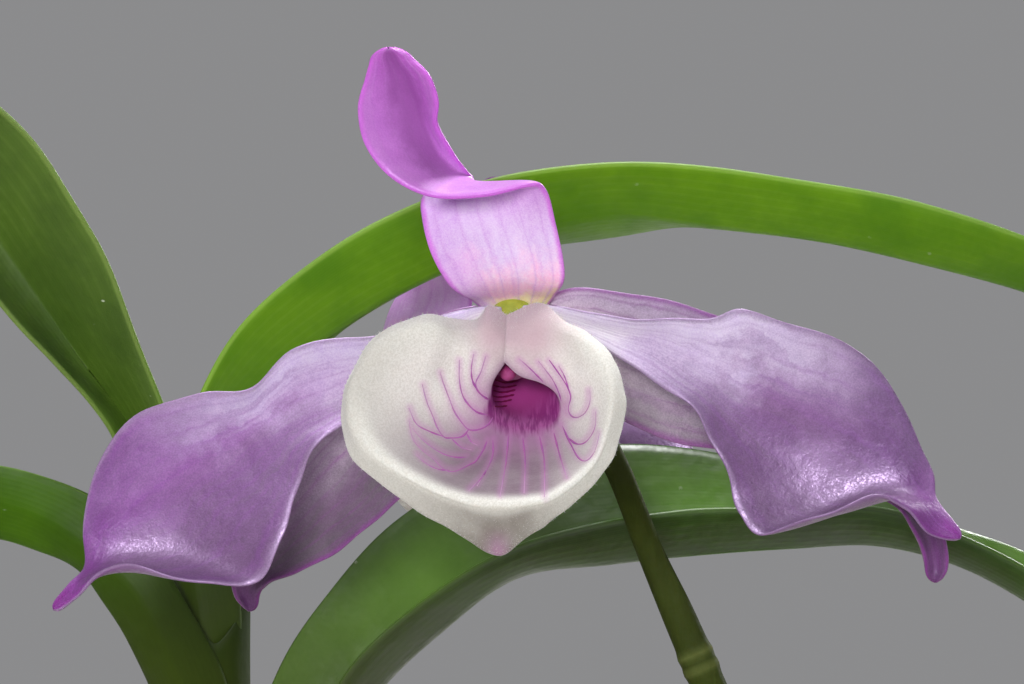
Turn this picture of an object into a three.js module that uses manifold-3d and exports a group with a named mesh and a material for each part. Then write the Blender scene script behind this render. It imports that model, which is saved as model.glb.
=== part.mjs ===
import * as THREE from 'three';
import { mergeVertices } from 'three/addons/utils/BufferGeometryUtils.js';
import Module from 'manifold-3d';

// A Dendrobium tortile in a clay pot: canes with their leaves, and two open flowers.
// Millimetres, +Z up, origin at the centre of the pot's foot. The first flower faces -Y.

// Pot and potting bark
const POT_HEIGHT = 104;
const POT_FOOT_RADIUS = 42;
const POT_MOUTH_RADIUS = 57;
const RIM_HEIGHT = 20;
const RIM_OVERHANG = 4;
const POT_WALL = 5;
const DRAIN_RADIUS = 5;
const DRAIN_CIRCLE = 24;
const DRAIN_COUNT = 3;
const BARK_LEVEL = 92;
const CHIP_COUNT = 30;
const CHIP_LENGTH = 20;
const SEAT_GAP = 0.3;

// Plant
const PETAL_THICKNESS = 0.6;
const LIP_THICKNESS = 0.6;
const LEAF_THICKNESS = 0.8;
const LEAF_KEEL = 1.35;
const CANE_SIDES = 8;
const CANE_DEPTH = 8;
const SEED = 20;

// The flower's middle, and the distance from which its front view was measured.
// Points below are [across, back, up] as seen from there. A point that lies further back is seen
// smaller, so place() spreads it by its depth.
const VIEW_CENTRE = new THREE.Vector3(0, -20, 262);
const VIEW_DISTANCE = 420;

// Dorsal sepal, base to tip: left edge, midrib, right edge. It turns over a third of the way up.
const DORSAL_SEPAL = [
  [[-2.7, 5.0, 3.2], [0.1, 5.4, 4.6], [2.9, 5.0, 3.7]],
  [[-5.0, 2.2, 4.6], [-0.2, 3.2, 5.6], [4.2, 2.2, 5.1]],
  [[-6.7, 1.4, 7.4], [-1.0, 2.8, 8.0], [4.1, 1.6, 7.2]],
  [[-7.4, 1.8, 10.2], [-1.8, 2.4, 10.4], [3.5, 1.0, 10.0]],
  [[-7.3, 4.0, 12.2], [-2.2, 2.6, 12.4], [2.8, -0.6, 12.6]],
  [[-5.4, 6.4, 13.0], [-2.0, 3.4, 13.0], [1.6, -1.6, 13.3]],
  [[-3.4, 6.0, 13.5], [-3.4, 2.6, 13.1], [-2.4, -2.0, 12.3]],
  [[-3.7, 4.0, 14.2], [-5.6, 2.4, 13.8], [-6.6, -1.6, 12.1]],
  [[-5.0, 2.6, 15.7], [-7.2, 2.6, 15.6], [-10.0, -0.8, 13.7]],
  [[-6.4, 1.2, 18.0], [-8.2, 2.8, 18.2], [-12.2, 0.2, 16.4]],
  [[-6.3, -0.2, 20.0], [-8.7, 2.6, 20.3], [-12.8, 0.6, 19.4]],
  [[-7.2, -0.4, 22.3], [-9.4, 1.8, 22.6], [-12.1, 0.6, 22.2]],
  [[-10.2, 0.6, 24.3]],
];

// Petals, base to tip: upper edge, midrib, lower edge.
const LEFT_PETAL = [
  [[-2.9, 3.7, 2.9], [-3.0, 3.6, 2.0], [-3.0, 3.8, 1.1]],
  [[-5.5, 3.2, 2.3], [-5.5, 3.2, 0.2], [-5.2, 3.4, -1.6]],
  [[-10.2, 1.8, 0.8], [-10.0, 2.6, -2.6], [-9.6, 2.8, -5.0]],
  [[-14.6, 0.2, 0.2], [-14.6, 2.0, -4.4], [-14.0, 1.9, -6.9]],
  [[-18.2, -0.8, -0.7], [-18.4, 2.0, -6.2], [-16.9, 0.9, -9.5]],
  [[-21.6, 0.0, -3.6], [-22.2, 2.4, -9.2], [-18.1, 0.2, -12.6]],
  [[-26.0, -0.6, -4.3], [-26.2, 2.8, -11.6], [-19.1, -1.4, -16.2]],
  [[-31.0, 0.0, -6.1], [-29.6, 2.8, -14.2], [-20.9, -2.6, -19.8]],
  [[-34.3, 1.2, -9.7], [-32.0, 2.2, -16.5], [-25.6, -3.6, -19.9]],
  [[-35.6, 2.4, -14.4], [-33.6, 1.2, -18.2], [-30.6, -3.6, -18.9]],
  [[-35.6, 2.2, -18.4], [-35.1, 0.2, -19.5], [-34.0, -2.2, -19.1]],
  [[-36.9, 0.6, -20.2], [-36.6, -0.4, -20.8], [-36.2, -1.2, -21.2]],
  [[-38.2, -0.6, -22.3]],
];
const RIGHT_PETAL = [
  [[2.9, 3.7, 3.1], [3.0, 3.6, 2.3], [3.0, 3.8, 1.4]],
  [[5.2, 2.6, 2.7], [5.5, 3.2, 1.6], [5.6, 3.4, 0.8]],
  [[8.5, 1.6, 1.9], [8.7, 3.0, 0.6], [8.4, 2.8, -0.9]],
  [[12.5, 1.0, 2.05], [12.8, 3.0, -0.9], [11.6, 2.2, -2.9]],
  [[16.4, 0.8, 2.0], [17.0, 3.2, -3.3], [14.8, 1.8, -5.4]],
  [[19.3, 0.2, 2.55], [20.5, 3.2, -5.5], [16.6, 0.8, -8.4]],
  [[23.2, 1.0, 1.45], [24.0, 3.2, -7.5], [18.3, -0.6, -11.3]],
  [[27.3, 1.8, 0.2], [27.0, 2.6, -9.3], [18.9, -2.0, -14.2]],
  [[30.7, 2.4, -2.5], [29.6, 2.0, -10.9], [20.9, -3.2, -16.2]],
  [[33.3, 3.0, -6.8], [31.6, 1.2, -12.0], [25.4, -3.8, -14.5]],
  [[34.8, 3.0, -10.8], [33.2, 0.4, -12.8], [29.9, -3.4, -12.7]],
  [[35.3, 1.8, -13.0], [34.6, -0.4, -13.9], [32.6, -2.6, -13.8]],
  [[36.5, 0.4, -14.6], [35.8, -0.8, -15.3], [34.6, -1.8, -15.9]],
  [[37.3, -0.9, -16.4]],
];

// Lateral sepals, behind the petals: upper edge, midrib, lower edge.
const LEFT_SEPAL = [
  [[-3.0, 5.9, 3.0], [-3.1, 6.2, 0.4], [-2.7, 6.0, -2.4]],
  [[-5.4, 5.2, 2.4], [-5.2, 6.2, -1.6], [-4.4, 5.8, -6.0]],
  [[-8.8, 4.8, 0.4], [-8.0, 6.6, -4.8], [-6.6, 5.4, -10.2]],
  [[-12.8, 5.0, -2.6], [-11.2, 7.0, -8.2], [-9.4, 5.4, -13.1]],
  [[-16.4, 5.6, -6.0], [-14.2, 7.6, -11.4], [-11.9, 5.8, -15.4]],
  [[-19.4, 6.2, -9.8], [-17.0, 8.2, -14.2], [-14.8, 6.4, -17.5]],
  [[-21.8, 7.0, -14.0], [-19.4, 8.8, -16.8], [-17.8, 7.2, -19.1]],
  [[-23.2, 8.2, -18.0], [-21.2, 9.8, -19.0], [-20.2, 8.4, -20.2]],
  [[-23.3, 9.8, -20.4], [-22.2, 10.8, -20.8], [-21.0, 10.0, -20.9]],
  [[-21.9, 11.0, -22.4]],
];
const RIGHT_SEPAL = [
  [[3.0, 5.9, 3.9], [3.2, 6.2, 0.8], [2.8, 6.0, -2.2]],
  [[5.6, 5.0, 4.5], [5.9, 6.2, 0.6], [5.4, 5.8, -4.6]],
  [[9.5, 4.8, 4.0], [9.6, 6.6, -0.6], [9.3, 5.6, -6.6]],
  [[14.0, 5.0, 3.1], [14.0, 7.2, -1.8], [13.6, 5.6, -8.3]],
  [[18.5, 5.6, 1.8], [18.5, 7.8, -3.0], [18.0, 6.0, -8.9]],
  [[23.5, 6.0, 0.0], [23.0, 8.0, -4.6], [22.3, 6.4, -9.2]],
  [[28.4, 6.4, -3.3], [27.0, 7.8, -7.0], [26.0, 6.6, -10.2]],
  [[32.0, 6.4, -7.8], [30.4, 7.4, -9.8], [29.2, 6.6, -12.0]],
  [[34.2, 6.0, -12.0], [33.1, 7.0, -12.9], [31.9, 6.2, -13.6]],
  [[35.6, 5.4, -15.2], [34.5, 6.4, -15.6], [33.3, 5.6, -15.6]],
  [[36.3, 5.0, -17.8], [35.3, 5.8, -18.2], [34.3, 5.2, -17.9]],
  [[35.3, 5.0, -20.0]],
];

// Lip outlines, from the left margin down round the point and up to the right margin. The mouth is
// where the tube opens, the brim where the trumpet turns over, the rim its free edge.
const LIP_MOUTH = [
  [-0.85, -1.2, -1.3], [-1.15, -1.3, -2.0], [-1.5, -1.4, -2.8], [-1.85, -1.5, -3.6],
  [-2.0, -1.5, -4.3], [-2.05, -1.5, -5.0], [-1.9, -1.5, -5.7], [-1.3, -1.5, -6.4],
  [-0.3, -1.5, -6.9], [0.8, -1.5, -7.1], [1.9, -1.5, -7.1], [3.0, -1.5, -6.8],
  [3.8, -1.5, -6.2], [4.15, -1.5, -5.4], [4.0, -1.5, -4.5], [3.3, -1.4, -3.7],
  [2.2, -1.3, -3.1], [0.8, -1.2, -2.6], [-0.3, -1.2, -1.5],
];
const LIP_BRIM = [
  [-0.85, -2.2, 0.9], [-1.8, -2.4, 1.4], [-3.4, -2.8, 0.7], [-7.0, -4.2, 1.2],
  [-10.8, -5.8, -0.6], [-12.8, -7.2, -4.6], [-11.4, -8.6, -8.8], [-7.4, -10.0, -11.7],
  [-3.8, -10.8, -13.1], [-1.0, -11.0, -13.4], [1.2, -10.8, -13.3], [3.6, -10.2, -12.7],
  [6.6, -9.0, -10.2], [7.9, -7.8, -7.0], [8.1, -6.6, -3.9], [6.8, -5.0, -1.0],
  [4.1, -3.4, 0.9], [2.1, -2.6, 1.6], [-0.25, -2.2, 1.0],
];
const LIP_RIM = [
  [-0.8, -0.8, 2.1], [-1.9, 0.0, 3.0], [-3.1, -1.0, 1.75], [-7.5, -3.2, 2.15],
  [-11.6, -5.0, 0.15], [-14.0, -6.2, -4.5], [-13.4, -7.0, -9.4], [-8.6, -8.6, -13.5],
  [-4.2, -9.6, -16.1], [-1.2, -9.8, -17.75], [1.4, -9.8, -16.1], [4.0, -9.2, -14.3],
  [7.6, -8.0, -10.9], [9.15, -6.8, -7.2], [9.3, -5.8, -3.8], [7.6, -4.0, -0.3],
  [4.4, -2.0, 1.7], [2.3, -0.2, 3.2], [-0.25, -0.8, 2.2],
];
const LIP_TUBE = { centre: [0.3, -1.7], radii: [2.9, 3.8], back: 2.0, open: 0.1 };
const LIP_BASE = { centre: [0, -0.3], radii: [2.35, 3.0], back: 4.2, open: 0.95 };
const LIP_BULGE = 1.0;

// Column: centre line and radius of its stretches, then its anther cap.
const COLUMN = [[0, 5.4, 1.8, 1.15], [0, 3.8, 0.7, 0.9], [-0.1, 2.6, -0.3, 0.8], [-0.2, 1.3, -1.6, 0.75]];
const ANTHER_CAP = { at: [-0.35, 0.2, -2.45], radii: [0.75, 0.7, 0.8] };
const RECEPTACLE = { at: [0, 6.4, 1.4], radii: [2.4, 1.7, 2.4] };
const COLUMN_FOOT = { at: [0, 7.0, -1.6], radii: [1.8, 1.5, 2.8] };

// Leaves seen round the flower, base to tip: one edge, keel, other edge.
const ARCHING_LEAF = [
  [[-28.0, 35.3, -24.4], [-25.4, 34.0, -25.6], [-22.6, 35.6, -24.6]],
  [[-28.4, 34.4, -19.0], [-26.2, 33.6, -20.2], [-22.8, 34.4, -19.8]],
  [[-29.6, 30.0, -13.0], [-27.2, 32.0, -14.0], [-23.2, 33.0, -14.0]],
  [[-26.7, 27.0, -5.6], [-24.2, 31.0, -7.0], [-20.4, 33.0, -7.2]],
  [[-22.4, 25.5, 1.5], [-19.2, 30.5, -2.0], [-17.2, 33.5, -1.4]],
  [[-15.7, 25.0, 7.2], [-12.8, 30.5, 2.5], [-12.0, 34.5, 3.4]],
  [[-8.0, 25.0, 11.2], [-5.8, 30.5, 6.2], [-5.0, 35.0, 6.9]],
  [[0.0, 25.0, 14.0], [1.6, 30.5, 9.3], [2.4, 35.5, 8.0]],
  [[8.0, 25.0, 15.0], [9.0, 30.5, 10.7], [9.6, 36.0, 8.8]],
  [[17.0, 25.0, 14.6], [17.2, 30.5, 9.8], [17.4, 36.5, 10.4]],
  [[26.0, 25.5, 13.1], [26.2, 31.0, 8.6], [26.5, 37.0, 9.8]],
  [[35.0, 26.0, 11.0], [35.0, 31.5, 6.6], [35.2, 37.0, 8.0]],
  [[44.0, 27.0, 8.2], [43.6, 32.0, 4.2], [44.0, 37.0, 5.4]],
  [[52.5, 29.0, 3.8], [52.0, 32.5, 0.8], [52.5, 36.5, 1.6]],
  [[60.0, 33.0, -4.0]],
];
const UPPER_LEFT_LEAF = [
  [[-24.4, 41.6, -24.0], [-26.2, 42.8, -25.0], [-28.2, 41.6, -24.2]],
  [[-25.4, 41.6, -18.3], [-27.2, 43.2, -19.2], [-29.2, 41.4, -18.8]],
  [[-26.6, 39.0, -12.5], [-29.2, 42.0, -13.4], [-31.2, 39.5, -13.8]],
  [[-28.8, 35.5, -6.0], [-31.6, 40.5, -7.2], [-33.4, 37.5, -6.8]],
  [[-31.8, 33.0, 2.3], [-36.2, 39.0, -1.0], [-38.0, 35.5, -2.1]],
  [[-35.5, 32.0, 9.6], [-40.2, 38.5, 4.8], [-42.8, 34.5, 3.0]],
  [[-40.0, 32.0, 16.6], [-44.8, 38.5, 11.4], [-47.8, 34.5, 8.8]],
  [[-46.0, 33.0, 22.5], [-50.0, 38.5, 17.8], [-53.2, 35.0, 14.4]],
  [[-53.2, 35.0, 27.0], [-56.0, 39.0, 23.2], [-58.6, 36.5, 20.0]],
  [[-63.0, 40.0, 28.5]],
];
const LOWER_LEFT_LEAF = [
  [[-22.6, 35.2, -33.6], [-25.6, 33.2, -34.4], [-28.4, 35.4, -33.6]],
  [[-24.4, 33.0, -27.0], [-27.8, 30.8, -28.0], [-30.6, 33.2, -27.4]],
  [[-28.2, 31.4, -19.9], [-30.8, 29.8, -21.6], [-33.4, 32.4, -22.4]],
  [[-31.8, 32.8, -15.4], [-34.6, 31.2, -17.8], [-36.2, 33.6, -19.2]],
  [[-36.6, 33.6, -12.3], [-38.8, 32.8, -14.8], [-40.0, 35.4, -17.0]],
  [[-42.5, 34.4, -10.4], [-43.8, 34.4, -13.2], [-44.4, 37.2, -16.0]],
  [[-49.4, 36.0, -10.4], [-50.2, 36.4, -13.0], [-50.6, 39.2, -15.6]],
  [[-56.4, 38.4, -12.8], [-57.0, 39.0, -15.2], [-57.0, 41.4, -17.4]],
  [[-62.4, 41.0, -17.4], [-63.0, 41.4, -19.4], [-62.6, 43.0, -21.0]],
  [[-67.0, 43.5, -25.0]],
];
const LOWER_LEAF = [
  [[-22.6, 20.5, -47.0], [-20.8, 18.6, -48.0], [-18.8, 20.3, -47.5]],
  [[-22.6, 22.5, -37.0], [-17.0, 20.0, -38.5], [-17.8, 16.5, -37.5]],
  [[-19.6, 23.0, -28.0], [-11.8, 20.5, -29.6], [-14.6, 15.5, -28.8]],
  [[-15.6, 23.0, -21.5], [-5.8, 20.5, -23.7], [-9.0, 15.2, -22.8]],
  [[-9.4, 22.8, -14.8], [0.3, 20.5, -19.3], [-1.5, 15.2, -18.3]],
  [[0.0, 22.6, -9.6], [8.0, 20.5, -18.2], [6.2, 15.2, -15.3]],
  [[9.5, 22.6, -8.6], [15.7, 20.5, -17.4], [14.0, 15.2, -14.0]],
  [[18.5, 23.0, -9.6], [23.0, 20.8, -16.9], [21.5, 15.6, -13.7]],
  [[27.0, 24.0, -11.6], [30.5, 21.4, -16.7], [29.5, 16.8, -13.9]],
  [[35.0, 25.4, -14.6], [37.3, 22.8, -18.4], [36.5, 18.8, -15.9]],
  [[42.5, 27.2, -17.4], [43.5, 25.0, -21.7], [43.0, 21.2, -19.0]],
  [[49.0, 29.4, -21.8], [49.5, 27.6, -25.8], [49.3, 24.4, -23.6]],
  [[55.0, 31.0, -32.0]],
];

// Stalks of the two flowers: centre line from flower to cane, with radii.
const FIRST_STALK = [
  [0.2, 9.2, 1.6, 1.35], [1.8, 11.2, 0.0, 1.35], [5.2, 12.8, -4.4, 1.25], [8.6, 13.0, -10.2, 1.1],
  [11.4, 12.2, -17.2, 1.15], [13.8, 11.6, -22.6, 1.4], [16.2, 11.4, -28.2, 1.5], [18.2, 11.8, -33.2, 1.6],
];
const SECOND_FLOWER = { at: [-7.5, 49, -4], turn: 152, lean: 14, roll: 8, scale: 0.8 };
const SECOND_STALK = [
  [-10.8, 42.9, -1.3, 1.05], [-11.8, 40.2, -3.4, 1.05], [-14.4, 38.0, -8.0, 1.0], [-18.4, 38.0, -14.0, 1.0],
  [-21.8, 38.8, -18.2, 1.1], [-23.8, 39.4, -20.4, 1.2],
];

// Canes: foot on the bark, tip, sideways bow, thickest radius and number of joints.
const CANES = {
  leafy_cane: { foot: [-13, 12], tip: [-27.4, 18, 238], bow: [-5, 4], radius: 4.2, joints: 8 },
  flowering_cane: { foot: [14, -8], tip: [18.9, -8.2, 227], bow: [7, -3], radius: 3.3, joints: 7 },
  front_cane: { foot: [-7, -12], tip: [-21.6, -0.8, 211], bow: [5, -5], radius: 3.3, joints: 7 },
  back_cane: { foot: [10, 20], tip: [22, 40, 196], bow: [-3, 6], radius: 3.5, joints: 6 },
  young_cane: { foot: [29, 7], tip: [44, 6, 158], bow: [6, 0], radius: 2.9, joints: 4 },
  old_cane: { foot: [-31, -3], tip: [-55, -14, 170], bow: [-4, -8], radius: 3.6, joints: 6 },
};

// Leaves out of the front view: cane, share of its height, heading in degrees from +X, length, width,
// and the angles at which the leaf rises and then droops.
const OTHER_LEAVES = {
  front_leaf_low: ['front_cane', 0.86, 232, 92, 15, 52, 62],
  flowering_leaf_right: ['flowering_cane', 0.8, 318, 84, 14, 26, 74],
  flowering_leaf_back: ['flowering_cane', 0.66, 20, 80, 14, 38, 60],
  back_leaf_top: ['back_cane', 0.99, 78, 96, 16, 64, 70],
  back_leaf_right: ['back_cane', 0.9, 12, 104, 16, 50, 78],
  back_leaf_left: ['back_cane', 0.8, 140, 100, 16, 48, 72],
  young_leaf_top: ['young_cane', 0.98, 300, 64, 12, 66, 56],
  young_leaf_right: ['young_cane', 0.8, 350, 78, 13, 44, 70],
  young_leaf_front: ['young_cane', 0.62, 250, 70, 12, 34, 70],
};

// Roots that lie over the bark: heading in degrees, reach from the cane's foot, and sideways wander.
const ROOT_RADIUS = 1.6;
const ROOTS = {
  root_front: { from: [4, -16], heading: 262, reach: 27, wander: 5 },
  root_left: { from: [-24, 14], heading: 168, reach: 17, wander: -2 },
  root_right: { from: [22, -18], heading: 318, reach: 15, wander: 2 },
};

const COLOURS = {
  clay: { color: 0xb5684a, roughness: 0.9 },
  bark: { color: 0x4f3524, roughness: 0.95 },
  leaf: { color: 0x5c8a22, roughness: 0.45 },
  cane: { color: 0x76803c, roughness: 0.6 },
  stalk: { color: 0x6b7440, roughness: 0.5 },
  petal: { color: 0xc9a6dc, roughness: 0.55 },
  lip: { color: 0xeeeae2, roughness: 0.75 },
  column: { color: 0xc6c65a, roughness: 0.5 },
  cap: { color: 0xc06aa8, roughness: 0.5 },
  root: { color: 0xb9b79f, roughness: 0.8 },
};

const wasm = await Module();
wasm.setup();

const X_AXIS = new THREE.Vector3(1, 0, 0);
const Y_AXIS = new THREE.Vector3(0, 1, 0);
const Z_AXIS = new THREE.Vector3(0, 0, 1);

const vector = ([x, y, z]) => new THREE.Vector3(x, y, z);

// A front-view reading as a point of the model, from the flower's middle.
function place([across, back, up]) {
  const spread = 1 + back / VIEW_DISTANCE;
  return new THREE.Vector3(across * spread, back, up * spread);
}

// Repeatable random numbers from 0 to 1.
function seededRandom(seed) {
  let state = seed;
  return () => {
    state = (state * 1664525 + 1013904223) % 4294967296;
    return state / 4294967296;
  };
}

const smoothCurve = (points) => new THREE.CatmullRomCurve3(points, false, 'catmullrom', 0.5);

function geometryOf(positions, triangles) {
  const geometry = new THREE.BufferGeometry();
  geometry.setAttribute('position', new THREE.Float32BufferAttribute(positions, 3));
  geometry.setIndex(triangles);
  return geometry;
}

// A closed sheet round a grid of points: both faces are split alike, and the four edges are joined.
function sheetGeometry(grid, thickness) {
  const rows = grid.length;
  const columns = grid[0].length;
  const positions = [];
  for (const side of [-0.5, 0.5]) {
    for (let i = 0; i < rows; i++) {
      for (let j = 0; j < columns; j++) {
        const along = grid[Math.min(i + 1, rows - 1)][j].clone().sub(grid[Math.max(i - 1, 0)][j]);
        const across = grid[i][Math.min(j + 1, columns - 1)].clone().sub(grid[i][Math.max(j - 1, 0)]);
        const normal = across.cross(along).normalize();
        positions.push(...grid[i][j].clone().addScaledVector(normal, side * thickness));
      }
    }
  }
  const back = (i, j) => i * columns + j;
  const front = (i, j) => rows * columns + i * columns + j;
  const triangles = [];
  for (let i = 0; i + 1 < rows; i++) {
    for (let j = 0; j + 1 < columns; j++) {
      triangles.push(front(i, j), front(i, j + 1), front(i + 1, j + 1));
      triangles.push(front(i, j), front(i + 1, j + 1), front(i + 1, j));
      triangles.push(back(i, j), back(i + 1, j + 1), back(i, j + 1));
      triangles.push(back(i, j), back(i + 1, j), back(i + 1, j + 1));
    }
  }
  const edge = [];
  for (let j = 0; j + 1 < columns; j++) edge.push([0, j]);
  for (let i = 0; i + 1 < rows; i++) edge.push([i, columns - 1]);
  for (let j = columns - 1; j > 0; j--) edge.push([rows - 1, j]);
  for (let i = rows - 1; i > 0; i--) edge.push([i, 0]);
  edge.forEach(([i, j], k) => {
    const [m, n] = edge[(k + 1) % edge.length];
    triangles.push(front(i, j), back(i, j), back(m, n));
    triangles.push(front(i, j), back(m, n), front(m, n));
  });
  return geometryOf(positions, triangles);
}

// The points of a blade whose stations each give one edge, the midrib and the other edge, and whose
// last station is its tip. A keel of 2 curves it evenly, and one nearer 1 folds it at the midrib.
function bladeGrid(stations, rows, columns, keel) {
  const tipWidth = 0.7;
  const placed = stations.map((station) => station.map(place));
  const tip = placed.pop()[0];
  const [left, , right] = placed[placed.length - 1];
  const half = right.clone().sub(left).setLength(tipWidth / 2);
  placed.push([tip.clone().sub(half), tip, tip.clone().add(half)]);
  const [one, middle, other] = [0, 1, 2].map((k) => smoothCurve(placed.map((station) => station[k])));
  const grid = [];
  for (let i = 0; i <= rows; i++) {
    const a = one.getPoint(i / rows);
    const m = middle.getPoint(i / rows);
    const b = other.getPoint(i / rows);
    const slope = b.clone().sub(a).multiplyScalar(0.5);
    const rise = a.add(b).multiplyScalar(0.5).sub(m);
    const row = [];
    for (let j = 0; j <= columns; j++) {
      const v = (2 * j) / columns - 1;
      row.push(m.clone().addScaledVector(slope, v).addScaledVector(rise, Math.abs(v) ** keel));
    }
    grid.push(row);
  }
  return grid;
}

// A round body through the given points, with its own radius at each. Its rings are square to the
// way it runs, and across is any direction that it never runs along.
function tubeGeometry(points, radii, sides, across) {
  const last = points.length - 1;
  const positions = [];
  points.forEach((centre, i) => {
    const ahead = points[Math.min(i + 1, last)].clone().sub(points[Math.max(i - 1, 0)]).normalize();
    const side = across.clone().cross(ahead).normalize();
    const front = ahead.clone().cross(side);
    for (let k = 0; k < sides; k++) {
      const angle = (2 * Math.PI * k) / sides;
      const rim = centre.clone().addScaledVector(side, radii[i] * Math.cos(angle));
      positions.push(...rim.addScaledVector(front, radii[i] * Math.sin(angle)));
    }
  });
  const triangles = [];
  for (let i = 0; i < last; i++) {
    for (let k = 0; k < sides; k++) {
      const next = (k + 1) % sides;
      const [a, b, c, d] = [i * sides + k, i * sides + next, (i + 1) * sides + next, (i + 1) * sides + k];
      triangles.push(a, b, c, a, c, d);
    }
  }
  for (let k = 1; k + 1 < sides; k++) {
    triangles.push(0, k + 1, k);
    triangles.push(last * sides, last * sides + k, last * sides + k + 1);
  }
  return geometryOf(positions, triangles);
}

// The same along a smooth line through the points, in a number of steps.
function smoothTube(points, radii, sides, steps, across) {
  const line = smoothCurve(points);
  const width = smoothCurve(radii.map((radius) => new THREE.Vector3(radius, 0, 0)));
  const shares = Array.from({ length: steps + 1 }, (_, i) => i / steps);
  const centres = shares.map((share) => line.getPoint(share));
  return tubeGeometry(centres, shares.map((share) => width.getPoint(share).x), sides, across);
}

function solidFrom(geometry) {
  const bare = geometry.clone();
  bare.deleteAttribute('normal');
  bare.deleteAttribute('uv');
  const merged = mergeVertices(bare, 1e-4);
  const mesh = new wasm.Mesh({
    numProp: 3,
    vertProperties: merged.attributes.position.array,
    triVerts: new Uint32Array(merged.index.array),
  });
  return new wasm.Manifold(mesh);
}

function geometryFrom(solid) {
  const mesh = solid.getMesh();
  return geometryOf(Array.from(mesh.vertProperties), Array.from(mesh.triVerts));
}

function nodeMesh(name, geometry, finish) {
  const look = COLOURS[finish];
  const material = new THREE.MeshStandardMaterial({ ...look, metalness: 0, side: THREE.DoubleSide });
  const mesh = new THREE.Mesh(geometry, material);
  mesh.name = name;
  return mesh;
}

function ellipsoid({ at, radii }) {
  const geometry = new THREE.SphereGeometry(1, 10, 6);
  geometry.scale(...radii);
  return geometry.translate(...place(at));
}

// The lip: a sheet rolled round the column into a tube that opens as a trumpet.
function lipGrid(rows, columns) {
  const directions = LIP_RIM.length - 1;
  const hoop = ({ centre, radii, back, open }) =>
    LIP_RIM.map((_, k) => {
      const angle = open + (2 * (Math.PI - open) * k) / directions;
      return place([centre[0] - radii[0] * Math.sin(angle), back, centre[1] + radii[1] * Math.cos(angle)]);
    });
  const mouth = LIP_MOUTH.map(place);
  const brim = LIP_BRIM.map(place);
  const rim = LIP_RIM.map(place);
  const funnel = mouth.map((point, k) => {
    const forward = LIP_BULGE * (0.35 + Math.cos((2 * Math.PI * k) / directions));
    return point.clone().lerp(brim[k], 0.45).add(new THREE.Vector3(0, -forward, 0));
  });
  const hoops = [hoop(LIP_BASE), hoop(LIP_TUBE), mouth, funnel, brim, rim].map(smoothCurve);
  const grid = [];
  for (let i = 0; i <= rows; i++) grid.push([]);
  for (let j = 0; j <= columns; j++) {
    const profile = smoothCurve(hoops.map((curve) => curve.getPoint(j / columns)));
    for (let i = 0; i <= rows; i++) grid[i].push(profile.getPoint(i / rows));
  }
  return grid;
}

function columnGeometry() {
  const line = COLUMN.map(place);
  const radii = COLUMN.map((stretch) => stretch[3]);
  const shaft = solidFrom(smoothTube(line, radii, 8, 5, X_AXIS));
  return geometryFrom(shaft.add(solidFrom(ellipsoid(RECEPTACLE))).add(solidFrom(ellipsoid(COLUMN_FOOT))));
}

// One flower, as a group whose own frame is the front view's.
function flower(prefix, detail) {
  const blades = {
    dorsal_sepal: DORSAL_SEPAL,
    left_petal: LEFT_PETAL,
    right_petal: RIGHT_PETAL,
    left_sepal: LEFT_SEPAL,
    right_sepal: RIGHT_SEPAL,
  };
  const group = new THREE.Group();
  for (const [name, stations] of Object.entries(blades)) {
    const rows = Math.round(stations.length * detail.petal);
    const grid = bladeGrid(stations, rows, 4, 2);
    group.add(nodeMesh(`${prefix}_${name}`, sheetGeometry(grid, PETAL_THICKNESS), 'petal'));
  }
  group.add(nodeMesh(`${prefix}_lip`, sheetGeometry(lipGrid(...detail.lip), LIP_THICKNESS), 'lip'));
  group.add(nodeMesh(`${prefix}_column`, columnGeometry(), 'column'));
  group.add(nodeMesh(`${prefix}_anther_cap`, ellipsoid(ANTHER_CAP), 'cap'));
  return group;
}

function stalkGeometry(stalk, steps) {
  return smoothTube(stalk.map(place), stalk.map((point) => point[3]), 8, steps, X_AXIS);
}

function leafMesh(name, stations) {
  const grid = bladeGrid(stations, Math.round(stations.length * 1.4), 4, LEAF_KEEL);
  return nodeMesh(name, sheetGeometry(grid, LEAF_THICKNESS), 'leaf');
}

// Draws the two ends of a line out by a gap.
function drawOut(points, gap) {
  const last = points.length - 1;
  points[0].addScaledVector(points[1].clone().sub(points[0]).normalize(), -gap);
  points[last].addScaledVector(points[last - 1].clone().sub(points[last]).normalize(), -gap);
}

// A cane's centre line, which starts below the bark's surface.
function caneLine({ foot, tip, bow }) {
  const start = new THREE.Vector3(foot[0], foot[1], BARK_LEVEL - CANE_DEPTH);
  const end = vector(tip);
  const pull = start.clone().lerp(end, 0.5).add(new THREE.Vector3(2 * bow[0], 2 * bow[1], 0));
  return new THREE.QuadraticBezierCurve3(start, pull, end);
}

// A cane swells above its foot and narrows to its tip.
function caneRadius({ radius }, share) {
  return radius * (0.5 + 0.5 * Math.sin(Math.PI * (0.08 + 0.84 * share)) ** 0.7);
}

// A cane with a ring at each joint. Grown by a gap, it is the hole that it stands in.
function caneGeometry(cane, gap = 0) {
  const line = caneLine(cane);
  const points = [];
  const radii = [];
  for (let k = 0; k <= cane.joints; k++) {
    for (const [offset, swell] of [[-0.08, 0.96], [0, 1.1], [0.08, 0.94]]) {
      const share = (k + offset) / cane.joints;
      if (share < 0 || share > 1) continue;
      points.push(line.getPoint(share));
      radii.push(caneRadius(cane, share) * swell + gap);
    }
  }
  drawOut(points, gap);
  return tubeGeometry(points, radii, CANE_SIDES, Y_AXIS);
}

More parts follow.
